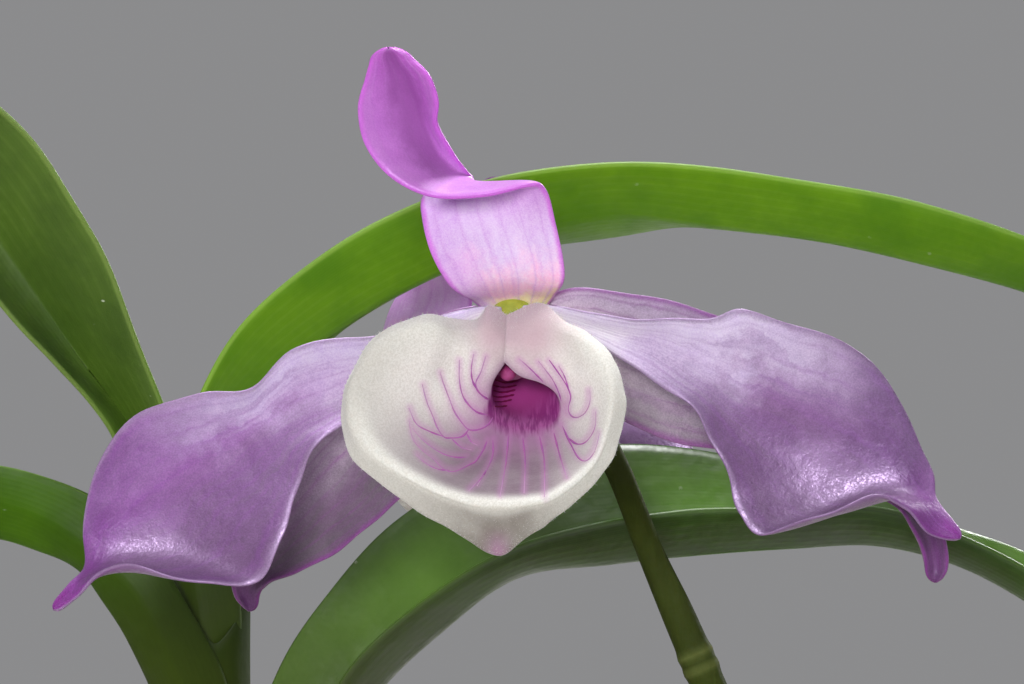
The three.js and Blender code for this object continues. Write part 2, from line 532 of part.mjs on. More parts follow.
// A strap leaf that leaves its cane, rises and droops over.
function strapLeafGrid([cane, share, heading, length, width, rise, droop]) {
  const rows = 11;
  const columns = 4;
  const turn = THREE.MathUtils.degToRad(heading);
  const outward = new THREE.Vector3(Math.cos(turn), Math.sin(turn), 0);
  const sideways = new THREE.Vector3(-Math.sin(turn), Math.cos(turn), 0);
  const root = CANES[cane];
  const reach = 1.08 * caneRadius(root, share) + LEAF_THICKNESS / 2 + SEAT_GAP;
  const point = caneLine(root).getPoint(share).addScaledVector(outward, reach);
  const grid = [];
  for (let i = 0; i <= rows; i++) {
    const s = i / rows;
    const upright = (90 - rise) * Math.max(0, 1 - 5 * s);
    const pitch = THREE.MathUtils.degToRad(rise + upright - (rise + droop) * s ** 1.3);
    const ahead = outward.clone().multiplyScalar(Math.cos(pitch)).addScaledVector(Z_AXIS, Math.sin(pitch));
    if (i > 0) point.addScaledVector(ahead, length / rows);
    const lift = sideways.clone().cross(ahead).negate();
    const half = (width / 2) * Math.min(1, 0.36 + 2.6 * s) * Math.max(0.05, 1 - s ** 3.2) ** 0.6;
    const row = [];
    for (let j = 0; j <= columns; j++) {
      const v = (2 * j) / columns - 1;
      const fold = 0.32 * half * Math.abs(v) ** LEAF_KEEL;
      row.push(point.clone().addScaledVector(sideways, half * v).addScaledVector(lift, fold));
    }
    grid.push(row);
  }
  return grid;
}

function potGeometry() {
  const slope = (POT_MOUTH_RADIUS - POT_FOOT_RADIUS) / POT_HEIGHT;
  const outer = (z) => POT_FOOT_RADIUS + slope * z;
  const rimFoot = POT_HEIGHT - RIM_HEIGHT;
  const lip = POT_MOUTH_RADIUS + RIM_OVERHANG;
  const profile = [
    [0, 0], [POT_FOOT_RADIUS - 1.5, 0], [POT_FOOT_RADIUS, 1.5], [outer(rimFoot), rimFoot],
    [lip - 2.4, rimFoot + 0.8], [lip - 1.4, rimFoot + 2.6], [lip, POT_HEIGHT - 2], [lip - 2, POT_HEIGHT],
    [POT_MOUTH_RADIUS - POT_WALL + 1, POT_HEIGHT], [POT_MOUTH_RADIUS - POT_WALL, POT_HEIGHT - 1.5],
    [POT_FOOT_RADIUS - POT_WALL + 1, POT_WALL + 1], [POT_FOOT_RADIUS - POT_WALL - 1, POT_WALL], [0, POT_WALL],
  ];
  const body = new THREE.LatheGeometry(profile.map(([r, z]) => new THREE.Vector2(r, z)), 36);
  body.rotateX(Math.PI / 2);
  let pot = solidFrom(body);
  for (let k = 0; k < DRAIN_COUNT; k++) {
    const angle = (2 * Math.PI * k) / DRAIN_COUNT + Math.PI / 2;
    const drill = new THREE.CylinderGeometry(DRAIN_RADIUS, DRAIN_RADIUS, 4 * POT_WALL, 12);
    drill.rotateX(Math.PI / 2);
    drill.translate(DRAIN_CIRCLE * Math.cos(angle), DRAIN_CIRCLE * Math.sin(angle), 0);
    pot = pot.subtract(solidFrom(drill));
  }
  return geometryFrom(pot);
}

// The inner wall's radius at a height, less the gap that the bark keeps to it.
function barkRadius(z) {
  const top = POT_MOUTH_RADIUS - POT_WALL;
  const bottom = POT_FOOT_RADIUS - POT_WALL + 1;
  const share = (z - POT_WALL - 1) / (POT_HEIGHT - 1.5 - POT_WALL - 1);
  return bottom + (top - bottom) * share - SEAT_GAP;
}

// A root that comes up beside its cane, wanders over the bark and dips into it again. Grown by a gap,
// it is the groove that it lies in.
function rootGeometry({ from, heading, reach, wander }, gap = 0) {
  const steps = 8;
  const turn = THREE.MathUtils.degToRad(heading);
  const ahead = new THREE.Vector3(Math.cos(turn), Math.sin(turn), 0);
  const aside = new THREE.Vector3(-Math.sin(turn), Math.cos(turn), 0);
  const points = [];
  const radii = [];
  for (let k = 0; k <= steps; k++) {
    const s = k / steps;
    const height = BARK_LEVEL + 2.6 - 5.5 * (1 - s) ** 3 - 8.5 * s ** 4;
    const point = new THREE.Vector3(from[0], from[1], height).addScaledVector(ahead, reach * s);
    points.push(point.addScaledVector(aside, wander * Math.sin(2.4 * Math.PI * s)));
    radii.push(ROOT_RADIUS * (1 - 0.3 * s ** 3) + gap);
  }
  drawOut(points, gap);
  return tubeGeometry(points, radii, 6, Z_AXIS);
}

// Bark fills the pot, with chips standing out of it, and holes for the canes and roots.
function barkGeometry() {
  const random = seededRandom(SEED);
  const low = POT_WALL + SEAT_GAP;
  const profile = [[0, low], [barkRadius(low) - 2, low], [barkRadius(low + 2), low + 2]];
  profile.push([barkRadius(BARK_LEVEL), BARK_LEVEL], [0, BARK_LEVEL + 2]);
  const heap = new THREE.LatheGeometry(profile.map(([r, z]) => new THREE.Vector2(r, z)), 28);
  heap.rotateX(Math.PI / 2);
  let bark = solidFrom(heap);
  const spacing = Math.PI * (3 - Math.sqrt(5));
  for (let k = 0; k < CHIP_COUNT; k++) {
    const length = CHIP_LENGTH * (0.6 + 0.5 * random());
    const chip = new THREE.BoxGeometry(length, length * (0.45 + 0.3 * random()), 3.4 + 2.6 * random());
    const corners = chip.attributes.position;
    for (let c = 0; c < corners.count; c++) {
      const pinch = corners.getX(c) > 0 ? 0.72 : 1;
      corners.setY(c, corners.getY(c) * pinch);
      corners.setZ(c, corners.getZ(c) * (corners.getY(c) > 0 ? 0.7 : 1));
    }
    chip.rotateX(0.7 * (random() - 0.5));
    chip.rotateY(0.7 * (random() - 0.5));
    chip.rotateZ(2 * Math.PI * random());
    const r = (barkRadius(BARK_LEVEL) - 0.62 * length) * Math.sqrt((k + 0.5) / CHIP_COUNT);
    chip.translate(r * Math.cos(k * spacing), r * Math.sin(k * spacing), BARK_LEVEL + 0.6 + 2.2 * random());
    bark = bark.add(solidFrom(chip));
  }
  for (const cane of Object.values(CANES)) bark = bark.subtract(solidFrom(caneGeometry(cane, SEAT_GAP)));
  for (const root of Object.values(ROOTS)) bark = bark.subtract(solidFrom(rootGeometry(root, SEAT_GAP)));
  const bodies = bark.decompose().sort((a, b) => b.volume() - a.volume());
  return geometryFrom(bodies[0]);
}

const plant = new THREE.Group();

plant.add(nodeMesh('pot', potGeometry(), 'clay'));
plant.add(nodeMesh('bark', barkGeometry(), 'bark'));
for (const [name, root] of Object.entries(ROOTS)) plant.add(nodeMesh(name, rootGeometry(root), 'root'));
for (const [name, cane] of Object.entries(CANES)) plant.add(nodeMesh(name, caneGeometry(cane), 'cane'));
for (const [name, leaf] of Object.entries(OTHER_LEAVES)) {
  plant.add(nodeMesh(name, sheetGeometry(strapLeafGrid(leaf), LEAF_THICKNESS), 'leaf'));
}

// What the front view shows, about the first flower's middle.
const seen = new THREE.Group();
seen.position.copy(VIEW_CENTRE);
seen.add(leafMesh('arching_leaf', ARCHING_LEAF));
seen.add(leafMesh('upper_left_leaf', UPPER_LEFT_LEAF));
seen.add(leafMesh('lower_left_leaf', LOWER_LEFT_LEAF));
seen.add(leafMesh('lower_leaf', LOWER_LEAF));
seen.add(flower('first', { petal: 1.5, lip: [11, 24] }));
seen.add(nodeMesh('first_stalk', stalkGeometry(FIRST_STALK, 12), 'stalk'));

const second = flower('second', { petal: 1, lip: [8, 18] });
second.position.copy(place(SECOND_FLOWER.at));
second.rotation.set(
  THREE.MathUtils.degToRad(SECOND_FLOWER.lean),
  THREE.MathUtils.degToRad(SECOND_FLOWER.roll),
  THREE.MathUtils.degToRad(SECOND_FLOWER.turn),
  'ZXY',
);
second.scale.setScalar(SECOND_FLOWER.scale);
seen.add(second);
seen.add(nodeMesh('second_stalk', stalkGeometry(SECOND_STALK, 8), 'stalk'));
plant.add(seen);

export default plant;
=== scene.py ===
import math

import bpy
import numpy as np
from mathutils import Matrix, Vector
from mathutils.bvhtree import BVHTree


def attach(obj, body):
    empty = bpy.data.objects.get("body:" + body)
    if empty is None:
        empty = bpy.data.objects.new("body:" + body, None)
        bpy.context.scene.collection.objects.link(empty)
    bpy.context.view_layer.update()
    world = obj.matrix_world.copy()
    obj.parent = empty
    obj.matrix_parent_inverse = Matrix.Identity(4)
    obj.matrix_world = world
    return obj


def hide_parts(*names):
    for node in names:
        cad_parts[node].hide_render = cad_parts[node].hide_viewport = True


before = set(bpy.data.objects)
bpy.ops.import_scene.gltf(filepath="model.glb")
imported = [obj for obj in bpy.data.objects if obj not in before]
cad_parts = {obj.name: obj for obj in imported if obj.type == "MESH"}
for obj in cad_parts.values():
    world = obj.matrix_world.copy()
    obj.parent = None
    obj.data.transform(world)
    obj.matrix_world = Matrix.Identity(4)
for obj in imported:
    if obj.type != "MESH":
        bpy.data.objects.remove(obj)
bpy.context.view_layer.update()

# Millimetres, as in the part's own source, and metres only where a mesh is made.
MM = 0.001

# The flower's middle, and the distance from which its front view was measured. Points below are
# [across, back, up] as seen from there, and place() spreads them by their depth.
VIEW_CENTRE = np.array([0.0, -20.0, 262.0])
VIEW_DISTANCE = 420.0
VIEW_WIDTH = 85.33
SENSOR_WIDTH = 36.0

LIP_THICKNESS = 0.38
LEAF_THICKNESS = 0.75
LEAF_KEEL = 1.35
TIP_WIDTH = 0.7
SEAT_GAP = 0.3
SHEATH_THICKNESS = 0.16
LEAF_VEINS = 16
HAIR_RADIUS = 0.011
THIRDS_OF_A_TURN = (0, 2.094, 4.189)

# Rings that dome a tube's end, as (share of its radius, share of the dome's height).
DOME_STEPS = [(0.93, 0.35), (0.72, 0.72), (0.4, 0.95)]
DOME = 0.35

POT_HEIGHT = 104
POT_FOOT_RADIUS = 42
POT_MOUTH_RADIUS = 57
RIM_HEIGHT = 20
RIM_OVERHANG = 4
RIM_TAPER = 1.4
POT_WALL = 5
POT_ROUNDING = 2.6
POT_WOBBLE = 0.0012
DRAIN_RADIUS = 5
DRAIN_CIRCLE = 24
DRAIN_COUNT = 3
BARK_LEVEL = 92
BARK_HEAP = 3.6
CHIP_COUNT = 300
CANE_ROOM = 4.6
CANE_DEPTH = 8
ROOT_RADIUS = 1.6

# Dorsal sepal, base to tip: left edge, midrib, right edge. It turns over a third of the way up.
DORSAL_SEPAL = [
    [[-2.2, 5.6, 2.6], [0.2, 6, 2.9], [2.8, 5.6, 2.9]],
    [[-3.3, 4.6, 3.5], [0, 5.2, 4], [3.5, 4.6, 3.9]],
    [[-5, 2.2, 4.6], [-0.2, 3.2, 5.6], [4.2, 2.2, 5.1]],
    [[-6.7, 1.4, 7.4], [-1, 2.8, 8], [4.1, 1.6, 7.2]],
    [[-7.4, 1.8, 10.2], [-1.8, 2.4, 10.4], [3.5, 1, 10]],
    [[-7.3, 4, 12.2], [-2.2, 2.6, 12.4], [2.8, -0.6, 12.6]],
    [[-5.4, 6.4, 13], [-2, 3.4, 13], [1.6, -1.6, 13.3]],
    [[-3.4, 6, 13.5], [-3.4, 2.6, 13.1], [-2.4, -2, 12.3]],
    [[-3.7, 4, 14.2], [-5.6, 2.4, 13.8], [-6.6, -1.6, 12.1]],
    [[-5, 2.6, 15.7], [-7.2, 2.6, 15.6], [-10, -0.8, 13.7]],
    [[-6.4, 1.2, 18], [-8.2, 2.8, 18.2], [-12.2, 0.2, 16.4]],
    [[-6.3, -0.2, 20], [-8.7, 2.6, 20.3], [-12.8, 0.6, 19.4]],
    [[-7, -0.4, 22.1], [-9.3, 1.8, 22.4], [-12.1, 0.6, 21.9]],
    [[-8.2, 0.2, 23.5], [-10, 1.1, 23.7], [-11.8, 0.6, 23.3]],
    [[-10.3, 0.6, 24.5]],
]

# Petals, base to tip: upper edge, midrib, lower edge.
LEFT_PETAL = [
    [[-1, 4.6, 2.9], [-1, 4.4, 2.1], [-1, 4.6, 1.3]],
    [[-2.9, 3.7, 2.9], [-3, 3.6, 2], [-3, 3.8, 1.1]],
    [[-5.5, 3.2, 2.3], [-5.5, 3.2, 0.2], [-5.2, 3.4, -1.6]],
    [[-10.2, 1.8, 0.8], [-10, 2.6, -2.6], [-9.6, 2.8, -5]],
    [[-14.6, 0.2, 0.2], [-14.6, 2, -4.4], [-14, 1.9, -6.9]],
    [[-18.2, -0.8, -0.7], [-18.4, 2, -6.2], [-16.9, 0.9, -9.5]],
    [[-21.6, 0, -3.6], [-22.2, 2.4, -9.2], [-18.1, 0.2, -12.6]],
    [[-26, -0.6, -4.3], [-26.2, 2.8, -11.6], [-19.1, -1.4, -16.2]],
    [[-31, 0, -6.1], [-29.6, 2.8, -14.2], [-20.9, -2.6, -19.8]],
    [[-34.3, 1.2, -9.7], [-32, 2.2, -16.5], [-25.6, -3.6, -19.9]],
    [[-35.6, 2.4, -14.4], [-33.6, 1.2, -18.2], [-30.6, -3.6, -18.9]],
    [[-35.6, 2.2, -18.4], [-35.1, 0.2, -19.5], [-34, -2.2, -19.1]],
    [[-36.9, 0.6, -20.2], [-36.6, -0.4, -20.8], [-36.2, -1.2, -21.2]],
    [[-38.2, -0.6, -22.3]],
]
RIGHT_PETAL = [
    [[1, 4.6, 3], [1, 4.4, 2.3], [1, 4.6, 1.5]],
    [[2.9, 3.7, 3.1], [3, 3.6, 2.3], [3, 3.8, 1.4]],
    [[5.2, 2.6, 2.7], [5.5, 3.2, 1.6], [5.6, 3.4, 0.8]],
    [[8.5, 1.6, 1.9], [8.7, 3, 0.6], [8.4, 2.8, -0.9]],
    [[12.5, 1, 2.05], [12.8, 3, -0.9], [11.6, 2.2, -2.9]],
    [[16.4, 0.8, 2], [17, 3.2, -3.3], [14.8, 1.8, -5.4]],
    [[19.3, 0.2, 2.55], [20.5, 3.2, -5.5], [16.6, 0.8, -8.4]],
    [[23.2, 1, 1.45], [24, 3.2, -7.5], [18.3, -0.6, -11.3]],
    [[27.3, 1.8, 0.2], [27, 2.6, -9.3], [18.9, -2, -14.2]],
    [[30.7, 2.4, -2.5], [29.6, 2, -10.9], [20.9, -3.2, -16.2]],
    [[33.3, 3, -6.8], [31.6, 1.2, -12], [25.4, -3.8, -14.5]],
    [[34.8, 3, -10.8], [33.2, 0.4, -12.8], [29.9, -3.4, -12.7]],
    [[35.3, 1.8, -13], [34.6, -0.4, -13.9], [32.6, -2.6, -13.8]],
    [[36.5, 0.4, -14.6], [35.8, -0.8, -15.3], [34.6, -1.8, -15.9]],
    [[37.3, -0.9, -16.4]],
]

# Lateral sepals, behind the petals: upper edge, midrib, lower edge.
LEFT_SEPAL = [
    [[-3, 5.9, 3], [-3.1, 6.2, 0.4], [-2.7, 6, -2.4]],
    [[-5.4, 5.2, 2.4], [-5.2, 6.2, -1.6], [-4.4, 5.8, -6]],
    [[-8.8, 4.8, 0.4], [-8, 6.6, -4.8], [-6.6, 5.4, -10.2]],
    [[-12.8, 5, -2.6], [-11.2, 7, -8.2], [-9.4, 5.4, -13.1]],
    [[-16.4, 5.6, -6], [-14.2, 7.6, -11.4], [-11.9, 5.8, -15.4]],
    [[-19.4, 6.2, -9.8], [-17, 8.2, -14.2], [-14.8, 6.4, -17.5]],
    [[-21.8, 7, -14], [-19.4, 8.8, -16.8], [-17.8, 7.2, -19.1]],
    [[-23.2, 8.2, -18], [-21.2, 9.8, -19], [-20.2, 8.4, -20.2]],
    [[-23.3, 9.8, -20.4], [-22.2, 10.8, -20.8], [-21, 10, -20.9]],
    [[-21.9, 11, -22.4]],
]
RIGHT_SEPAL = [
    [[3, 5.9, 3.9], [3.2, 6.2, 0.8], [2.8, 6, -2.2]],
    [[5.6, 5, 4.5], [5.9, 6.2, 0.6], [5.4, 5.8, -4.6]],
    [[9.5, 4.8, 4], [9.6, 6.6, -0.6], [9.3, 5.6, -6.6]],
    [[14, 5, 3.1], [14, 7.2, -1.8], [13.6, 5.6, -8.3]],
    [[18.5, 5.6, 1.8], [18.5, 7.8, -3], [18, 6, -8.9]],
    [[23.5, 6, 0], [23, 8, -4.6], [22.3, 6.4, -9.2]],
    [[28.4, 6.4, -3.3], [27, 7.8, -7], [26, 6.6, -10.2]],
    [[32, 6.4, -7.8], [30.4, 7.4, -9.8], [29.2, 6.6, -12]],
    [[34.2, 6, -12], [33.1, 7, -12.9], [31.9, 6.2, -13.6]],
    [[35.6, 5.4, -15.2], [34.5, 6.4, -15.6], [33.3, 5.6, -15.6]],
    [[36.3, 5, -17.8], [35.3, 5.8, -18.2], [34.3, 5.2, -17.9]],
    [[35.3, 5, -20]],
]

# Lip outlines, from the left margin down round the point and up to the right margin.
LIP_MOUTH = [
    [-0.42, -0.9, -1.3], [-0.95, -1.2, -2], [-1.5, -1.4, -2.8], [-1.85, -1.5, -3.6],
    [-2, -1.5, -4.3], [-2.05, -1.5, -5], [-1.9, -1.5, -5.7], [-1.3, -1.5, -6.4],
    [-0.3, -1.5, -6.9], [0.8, -1.5, -7.1], [1.9, -1.5, -7.1], [3, -1.5, -6.8],
    [3.8, -1.5, -6.2], [4.15, -1.5, -5.4], [4, -1.5, -4.5], [3.3, -1.4, -3.7],
    [2.2, -1.3, -3.1], [0.7, -1.3, -2.6], [-0.55, -1.3, -1.5],
]
LIP_BRIM = [
    [-0.3, -1.9, 0.9], [-1.8, -2.4, 1.4], [-3.4, -2.8, 0.7], [-7, -4.2, 1.2],
    [-10.8, -5.8, -0.6], [-12.8, -7.2, -4.6], [-11.4, -8.6, -8.8], [-7.4, -10, -11.7],
    [-3.8, -10.8, -13.1], [-1, -11, -13.4], [1.2, -10.8, -13.3], [3.6, -10.2, -12.7],
    [6.6, -9, -10.2], [7.9, -7.8, -7], [8.1, -6.6, -3.9], [6.8, -5, -1],
    [4.1, -3.4, 0.9], [2.1, -2.6, 1.6], [-0.45, -2.2, 1],
]
LIP_RIM = [
    [-0.35, -0.5, 2.1], [-1.9, 0, 3], [-3.1, -1, 1.75], [-7.5, -3.2, 2.15],
    [-11.6, -5, 0.15], [-14, -6.2, -4.5], [-13.4, -7, -9.4], [-8.6, -8.6, -13.5],
    [-4.2, -9.6, -16.1], [-1.2, -9.8, -17.75], [1.4, -9.8, -16.1], [4, -9.2, -14.3],
    [7.6, -8, -10.9], [9.15, -6.8, -7.2], [9.3, -5.8, -3.8], [7.6, -4, -0.3],
    [4.4, -2, 1.7], [2.3, -0.2, 3.2], [-0.4, -0.8, 2.2],
]
# Hoops of the lip's narrow end, with the angle that its seam leaves open on either side of the top.
LIP_TUBE = {"centre": (0.3, -1.7), "radii": (2.9, 3.8), "back": 2, "slit": 0.1}
LIP_BASE = {"centre": (0, -0.3), "radii": (2.35, 3), "back": 4.2, "slit": 0.95}
LIP_BULGE = 1

# Shares of the lip's rows at its base, tube, mouth, funnel, inner line, brim, outer line and rim.
LIP_LEVELS = [0, 0.12, 0.3, 0.55, 0.72, 0.8, 0.86, 1]

# Veins of the lip as [across, up] in the front view, from the throat outwards, and the crimson bars
# on the throat's left wall.
LIP_VEINS = [
    [(-1.9, -4.8), (-2.3, -4.6), (-2.9, -4), (-3, -3.3), (-2.6, -2.5), (-2.2, -1.2)],
    [(-2.9, -4), (-3.3, -3.2), (-3.4, -2.2), (-3.2, -1)],
    [(-2, -6.1), (-3, -5.8), (-3.8, -5), (-4.2, -4.2), (-4.4, -3), (-4.4, -1.5)],
    [(-1.6, -6.3), (-2, -6.9), (-2.8, -7.3), (-3.6, -7.3), (-4.2, -6.7), (-4.8, -5.8), (-5.2, -4.8),
     (-5.7, -3.5), (-6, -2.5)],
    [(-3.6, -7.3), (-4.2, -7.9), (-5.2, -8), (-5.7, -7.9), (-6.2, -7.2), (-6.6, -6.2), (-7.1, -5),
     (-7.5, -3.5)],
    [(-5.7, -7.9), (-7, -7.4), (-8, -6.8), (-8.6, -5.5)],
    [(-3.8, -7.6), (-3.4, -8.3), (-2.9, -8.6)],
    [(-5, -8.1), (-4.2, -8.8), (-3.4, -9)],
    [(-2.1, -8.3), (-2.4, -9), (-3, -9.9), (-3.5, -10.2), (-4.8, -10.8), (-5.7, -10.6), (-6.5, -9.8),
     (-7.5, -9), (-8.3, -8), (-8.6, -6.5)],
    [(-5.2, -10.7), (-6.2, -10.6), (-7.2, -10.1), (-8, -9.4)],
    [(-3.8, -9.6), (-4.8, -9.6), (-6, -9.2), (-7.4, -8.2), (-8.3, -7.2)],
    [(-1.6, -8.2), (-1.6, -9.4), (-2.1, -10.6), (-2.9, -12)],
    [(-2.1, -10.6), (-2.6, -11.4), (-3.6, -12.4)],
    [(-0.3, -7.8), (-0.5, -10), (-1, -12.9)],
    [(0.9, -8), (1.1, -10), (1, -12.6)],
    [(2.3, -7.9), (2.7, -10), (2.7, -12.9)],
    [(3.5, -7.6), (4, -9.5), (4.6, -11.4)],
    [(4.2, -7), (4.8, -8.3), (5.5, -9.6), (6.2, -9.9), (6.9, -9.1), (7.3, -7.6)],
    [(4.6, -7.9), (5.4, -8.5), (6.2, -8.3), (6.9, -7.2), (7, -5.8)],
    [(3.1, -1.5), (3.9, -2.6), (4.6, -3.7), (4.9, -4.6), (4.7, -5.5), (4.9, -6.1), (5.4, -6.3),
     (6.1, -5.9), (6.5, -5), (6.5, -4)],
    [(4.1, -4.9), (3.9, -4.2), (3.3, -3), (2.2, -1.6)],
    [(2.6, -3.3), (1.6, -2.3), (0.6, -1.4)],
    [(4.8, -4.2), (4.4, -2.9), (3.9, -2)],
]
THROAT_BARS = [
    [(0.3, -2.9), (-0.6, -3), (-1.5, -2.6)], [(0.5, -3.2), (-0.6, -3.4), (-1.8, -3)],
    [(0.4, -3.6), (-0.7, -3.8), (-1.9, -3.5)], [(0.3, -4), (-0.9, -4.2), (-2, -3.9)],
    [(0.2, -4.4), (-1, -4.6), (-2.1, -4.4)], [(0, -4.8), (-1, -5), (-2.1, -4.8)],
    [(-0.4, -5.3), (-1.2, -5.4), (-2, -5.2)],
]

# Soft folds down the lip's upper lobes, as [across, up].
LIP_FOLDS = [[(-5, 2), (-5, 0), (-5.8, -2.6)], [(4.4, 1.4), (4.8, 0), (5.3, -1.6)]]
LIP_FOLD_DEPTH = 0.25

COLUMN = [[0, 5.4, 1.8, 1.15], [0, 3.8, 0.7, 0.9], [-0.1, 2.6, -0.3, 0.8], [-0.2, 1.3, -1.6, 0.75]]
ANTHER_CAP = {"at": (-0.35, 0.2, -2.45), "radii": (0.75, 0.7, 0.8)}
RECEPTACLE = {"at": (0, 6.2, 1.4), "radii": (2.5, 1.9, 2.7)}
COLUMN_FOOT = {"at": (0, 7, -1.6), "radii": (1.8, 1.5, 2.8)}

# Leaves seen round the flower, base to tip: one edge, keel, other edge.
ARCHING_LEAF = [
    [[-28, 35.3, -24.4], [-25.4, 34, -25.6], [-22.6, 35.6, -24.6]],
    [[-28.4, 34.4, -19], [-26.2, 33.6, -20.2], [-22.8, 34.4, -19.8]],
    [[-29.6, 30, -13], [-27.2, 32, -14], [-23.2, 33, -14]],
    [[-26.7, 27, -5.6], [-24.2, 31, -7], [-20.4, 33, -7.2]],
    [[-22.4, 25.5, 1.5], [-19.2, 30.5, -2], [-17.2, 33.5, -1.4]],
    [[-15.7, 25, 7.2], [-12.8, 30.5, 2.5], [-12, 34.5, 3.4]],
    [[-8, 25, 11.2], [-5.8, 30.5, 6.2], [-5, 35, 6.9]],
    [[0, 25, 14], [1.6, 30.5, 9.3], [2.4, 35.5, 8]],
    [[8, 25, 15], [9, 30.5, 10.7], [9.6, 36, 8.8]],
    [[17, 25, 14.6], [17.2, 30.5, 9.8], [17.4, 36.5, 10.4]],
    [[26, 25.5, 13.1], [26.2, 31, 8.6], [26.5, 37, 9.8]],
    [[35, 26, 11], [35, 31.5, 6.6], [35.2, 37, 8]],
    [[44, 27, 8.2], [43.6, 32, 4.2], [44, 37, 5.4]],
    [[52.5, 29, 3.8], [52, 32.5, 0.8], [52.5, 36.5, 1.6]],
    [[60, 33, -4]],
]
UPPER_LEFT_LEAF = [
    [[-24.4, 41.6, -24], [-26.2, 42.8, -25], [-28.2, 41.6, -24.2]],
    [[-25.4, 41.6, -18.3], [-27.2, 43.2, -19.2], [-29.2, 41.4, -18.8]],
    [[-26.6, 39, -12.5], [-29.2, 42, -13.4], [-31.2, 39.5, -13.8]],
    [[-28.8, 35.5, -6], [-31.6, 40.5, -7.2], [-33.4, 37.5, -6.8]],
    [[-31.8, 33, 2.3], [-36.2, 39, -1], [-38, 35.5, -2.1]],
    [[-35.5, 32, 9.6], [-40.2, 38.5, 4.8], [-42.8, 34.5, 3]],
    [[-40, 32, 16.6], [-44.8, 38.5, 11.4], [-47.8, 34.5, 8.8]],
    [[-46, 33, 22.5], [-50, 38.5, 17.8], [-53.2, 35, 14.4]],
    [[-53.2, 35, 27], [-56, 39, 23.2], [-58.6, 36.5, 20]],
    [[-63, 40, 28.5]],
]
LOWER_LEFT_LEAF = [
    [[-22.6, 35.2, -33.6], [-25.6, 33.2, -34.4], [-28.4, 35.4, -33.6]],
    [[-24.4, 33, -27], [-27.8, 30.8, -28], [-30.6, 33.2, -27.4]],
    [[-28.2, 31.4, -19.9], [-30.8, 29.8, -21.6], [-33.4, 32.4, -22.4]],
    [[-31.8, 32.8, -15.4], [-34.6, 31.2, -17.8], [-36.2, 33.6, -19.2]],
    [[-36.6, 33.6, -12.3], [-38.8, 32.8, -14.8], [-40, 35.4, -17]],
    [[-42.5, 34.4, -10.4], [-43.8, 34.4, -13.2], [-44.4, 37.2, -16]],
    [[-49.4, 36, -10.4], [-50.2, 36.4, -13], [-50.6, 39.2, -15.6]],
    [[-56.4, 38.4, -12.8], [-57, 39, -15.2], [-57, 41.4, -17.4]],
    [[-62.4, 41, -17.4], [-63, 41.4, -19.4], [-62.6, 43, -21]],
    [[-67, 43.5, -25]],
]
LOWER_LEAF = [
    [[-22.6, 20.5, -47], [-20.8, 18.6, -48], [-18.8, 20.3, -47.5]],
    [[-22.6, 22.5, -37], [-17, 20, -38.5], [-17.8, 16.5, -37.5]],
    [[-19.6, 23, -28], [-11.8, 20.5, -29.6], [-14.6, 15.5, -28.8]],
    [[-15.6, 23, -21.5], [-5.8, 20.5, -23.7], [-9, 15.2, -22.8]],
    [[-9.4, 22.8, -14.8], [0.3, 20.5, -19.3], [-1.5, 15.2, -18.3]],
    [[0, 22.6, -9.6], [8, 20.5, -18.2], [6.2, 15.2, -15.3]],
    [[9.5, 22.6, -8.6], [15.7, 20.5, -17.4], [14, 15.2, -14]],
    [[18.5, 23, -9.6], [23, 20.8, -16.9], [21.5, 15.6, -13.7]],
    [[27, 24, -11.6], [30.5, 21.4, -16.7], [29.5, 16.8, -13.9]],
    [[35, 25.4, -14.6], [37.3, 22.8, -18.4], [36.5, 18.8, -15.9]],
    [[42.5, 27.2, -17.4], [43.5, 25, -21.7], [43, 21.2, -19]],
    [[49, 29.4, -21.8], [49.5, 27.6, -25.8], [49.3, 24.4, -23.6]],
    [[55, 31, -32]],
]

# Stalks of the two flowers: centre line from flower to cane, with radii.
FIRST_STALK = [
    [0.2, 9.2, 1.6, 1.35], [1.8, 11.2, 0, 1.35], [5.2, 12.8, -4.4, 1.25], [8.6, 13, -10.2, 1.1],
    [11.4, 12.2, -17.2, 1.15], [13.8, 11.6, -22.6, 1.4], [16.2, 11.4, -28.2, 1.5], [18.2, 11.8, -33.2, 1.6],
]
SECOND_FLOWER = {"at": (-7.5, 49, -4), "turn": 152, "lean": 14, "roll": 8, "scale": 0.8}
SECOND_DORSAL_TIP = [-9.9, 1, 23.2]
SECOND_STALK = [
    [-10.8, 42.9, -1.3, 1.05], [-11.8, 40.2, -3.4, 1.05], [-14.4, 38, -8, 1],
    [-18.4, 38, -14, 1], [-21.8, 38.8, -18.2, 1.1], [-23.8, 39.4, -20.4, 1.2],
]

# Canes: foot on the bark, tip, sideways bow, thickest radius and number of joints.
CANES = {
    "leafy_cane": {"foot": (-13, 12), "tip": (-27.4, 18, 238), "bow": (-5, 4), "radius": 4.2, "joints": 8},
    "flowering_cane": {
        "foot": (14, -8), "tip": (18.9, -8.2, 227), "bow": (7, -3), "radius": 3.3, "joints": 7,
    },
    "front_cane": {"foot": (-7, -12), "tip": (-21.6, -0.8, 211), "bow": (5, -5), "radius": 3.3, "joints": 7},
    "back_cane": {"foot": (10, 20), "tip": (22, 40, 196), "bow": (-3, 6), "radius": 3.5, "joints": 6},
    "young_cane": {"foot": (29, 7), "tip": (44, 6, 158), "bow": (6, 0), "radius": 2.9, "joints": 4},
    "old_cane": {"foot": (-31, -3), "tip": (-55, -14, 170), "bow": (-4, -8), "radius": 3.6, "joints": 6},
}

# How many joints of a cane, from its foot up, are still in their papery sheaths.
SHEATHED_JOINTS = {"old_cane": 5, "leafy_cane": 6, "flowering_cane": 5, "front_cane": 4, "back_cane": 3}

